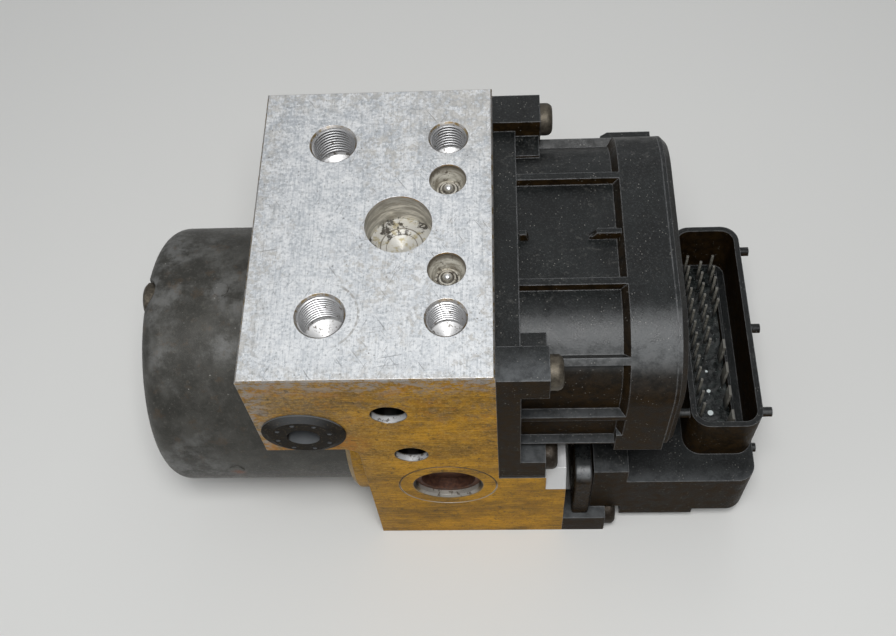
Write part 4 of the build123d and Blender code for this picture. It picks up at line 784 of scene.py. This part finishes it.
def add_gussets():
    """Two sloping gussets on the top panel: a long one at the band and a short one at the flange."""
    black = bpy.data.materials["moulded_black"]
    foot, crest, low, high = 93.0, 95.75, -1.05, 0.45  # heights, then the two sides in y
    soft_edge = 0.00018  # metres
    for name, start, end, slope in (("band_gusset", 36.9, 44.6, (-0.80, 0, 0.60)),
                                    ("flange_gusset", 19.9, 22.2, (0.97, 0, 0.24))):
        clear_selection()
        bpy.ops.mesh.primitive_cube_add(
            size=1, location=mm((start + end) / 2, (low + high) / 2, (foot + crest) / 2),
            scale=mm(end - start, high - low, crest - foot), enter_editmode=True)
        bpy.ops.mesh.select_all(action="SELECT")
        tip = start if slope[0] < 0 else end
        bpy.ops.mesh.bisect(plane_co=mm(tip, 0, foot + 0.5), plane_no=slope, use_fill=True,
                            clear_outer=True)
        bpy.ops.mesh.select_all(action="SELECT")
        bpy.ops.mesh.bevel(offset=soft_edge, segments=2)
        bpy.ops.mesh.select_all(action="SELECT")
        bpy.ops.mesh.normals_make_consistent(inside=False)
        bpy.ops.object.mode_set(mode="OBJECT")
        finish_piece(name, black)


def add_accumulator_coils():
    """Wound springs under the accumulator pistons."""
    wire, turns, travel = 0.00045, 6, 0.008  # radius of the wire and travel in metres
    wire_finish = plain_metal("drawn_wire", (0.55, 0.55, 0.57), (0.34, 0.34, 0.36), 0.34)
    for side in ("front", "rear"):
        low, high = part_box("accumulator_spring_" + side)
        length = high.z - low.z
        reach = (high.x - low.x) / 2 - wire
        clear_selection()
        bpy.ops.mesh.primitive_circle_add(vertices=8, radius=wire, location=(reach, 0, 0),
                                          rotation=(pi / 2, 0, 0))
        bpy.ops.object.transform_apply(location=True, rotation=True, scale=True)
        piece = bpy.context.object
        winding = piece.modifiers.new("winding", "SCREW")
        winding.axis = "Z"
        winding.angle = 2 * pi * turns
        winding.screw_offset = length - 2 * wire
        winding.steps = winding.render_steps = 24 * turns
        bpy.ops.object.modifier_apply(modifier="winding")
        bpy.ops.object.mode_set(mode="EDIT")
        bpy.ops.mesh.select_all(action="SELECT")
        bpy.ops.mesh.fill_holes(sides=0)
        bpy.ops.mesh.select_all(action="SELECT")
        bpy.ops.mesh.normals_make_consistent(inside=False)
        bpy.ops.object.mode_set(mode="OBJECT")
        bpy.ops.object.shade_smooth_by_angle(angle=radians(60))
        piece.location = ((low.x + high.x) / 2, (low.y + high.y) / 2, low.z + wire)
        coil = finish_piece("accumulator_coil_" + side, wire_finish)
        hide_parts("accumulator_spring_" + side)
        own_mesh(coil)


# ---- floor, background and light ----
def build_studio():
    """Pale floor, three soft lamps and an even sky."""
    clear_selection()
    bpy.ops.mesh.primitive_plane_add(size=6, location=(0, 0, -0.0002))
    floor = bpy.context.object
    floor.name = "floor"
    pale = bpy.data.materials.new("pale_floor")
    pale.use_nodes = True
    shader = pale.node_tree.nodes["Principled BSDF"]
    shader.inputs["Base Color"].default_value = (0.72, 0.72, 0.70, 1)
    shader.inputs["Roughness"].default_value = 0.9
    floor.data.materials.append(pale)
    middle = mm(0, 0, 40)
    for name, place, size, power in (  # metres and watts
        ("key", (0.02, -0.155, 0.46), 0.14, 1.40),
        ("rim", (0.12, 0.60, 0.55), 0.50, 0.7),
        ("left", (-0.70, -0.10, 0.45), 0.50, 0.6),
    ):
        light = bpy.data.objects.new(name, bpy.data.lights.new(name, "AREA"))
        light.data.energy = power
        light.data.size = size
        light.location = place
        aim = middle - Vector(place)
        light.rotation_euler = aim.to_track_quat("-Z", "Y").to_euler()
        bpy.context.collection.objects.link(light)
    world = bpy.data.worlds.new("studio")
    world.use_nodes = True
    tree = world.node_tree
    background = tree.nodes["Background"]
    background.inputs["Color"].default_value = (0.9, 0.92, 0.95, 1)
    background.inputs["Strength"].default_value = 0.32
    bpy.context.scene.world = world
    bpy.context.scene.view_settings.view_transform = "Standard"


place_camera()
build_studio()
dress_nodes()
add_threads()
add_potting()
add_gussets()
add_accumulator_coils()
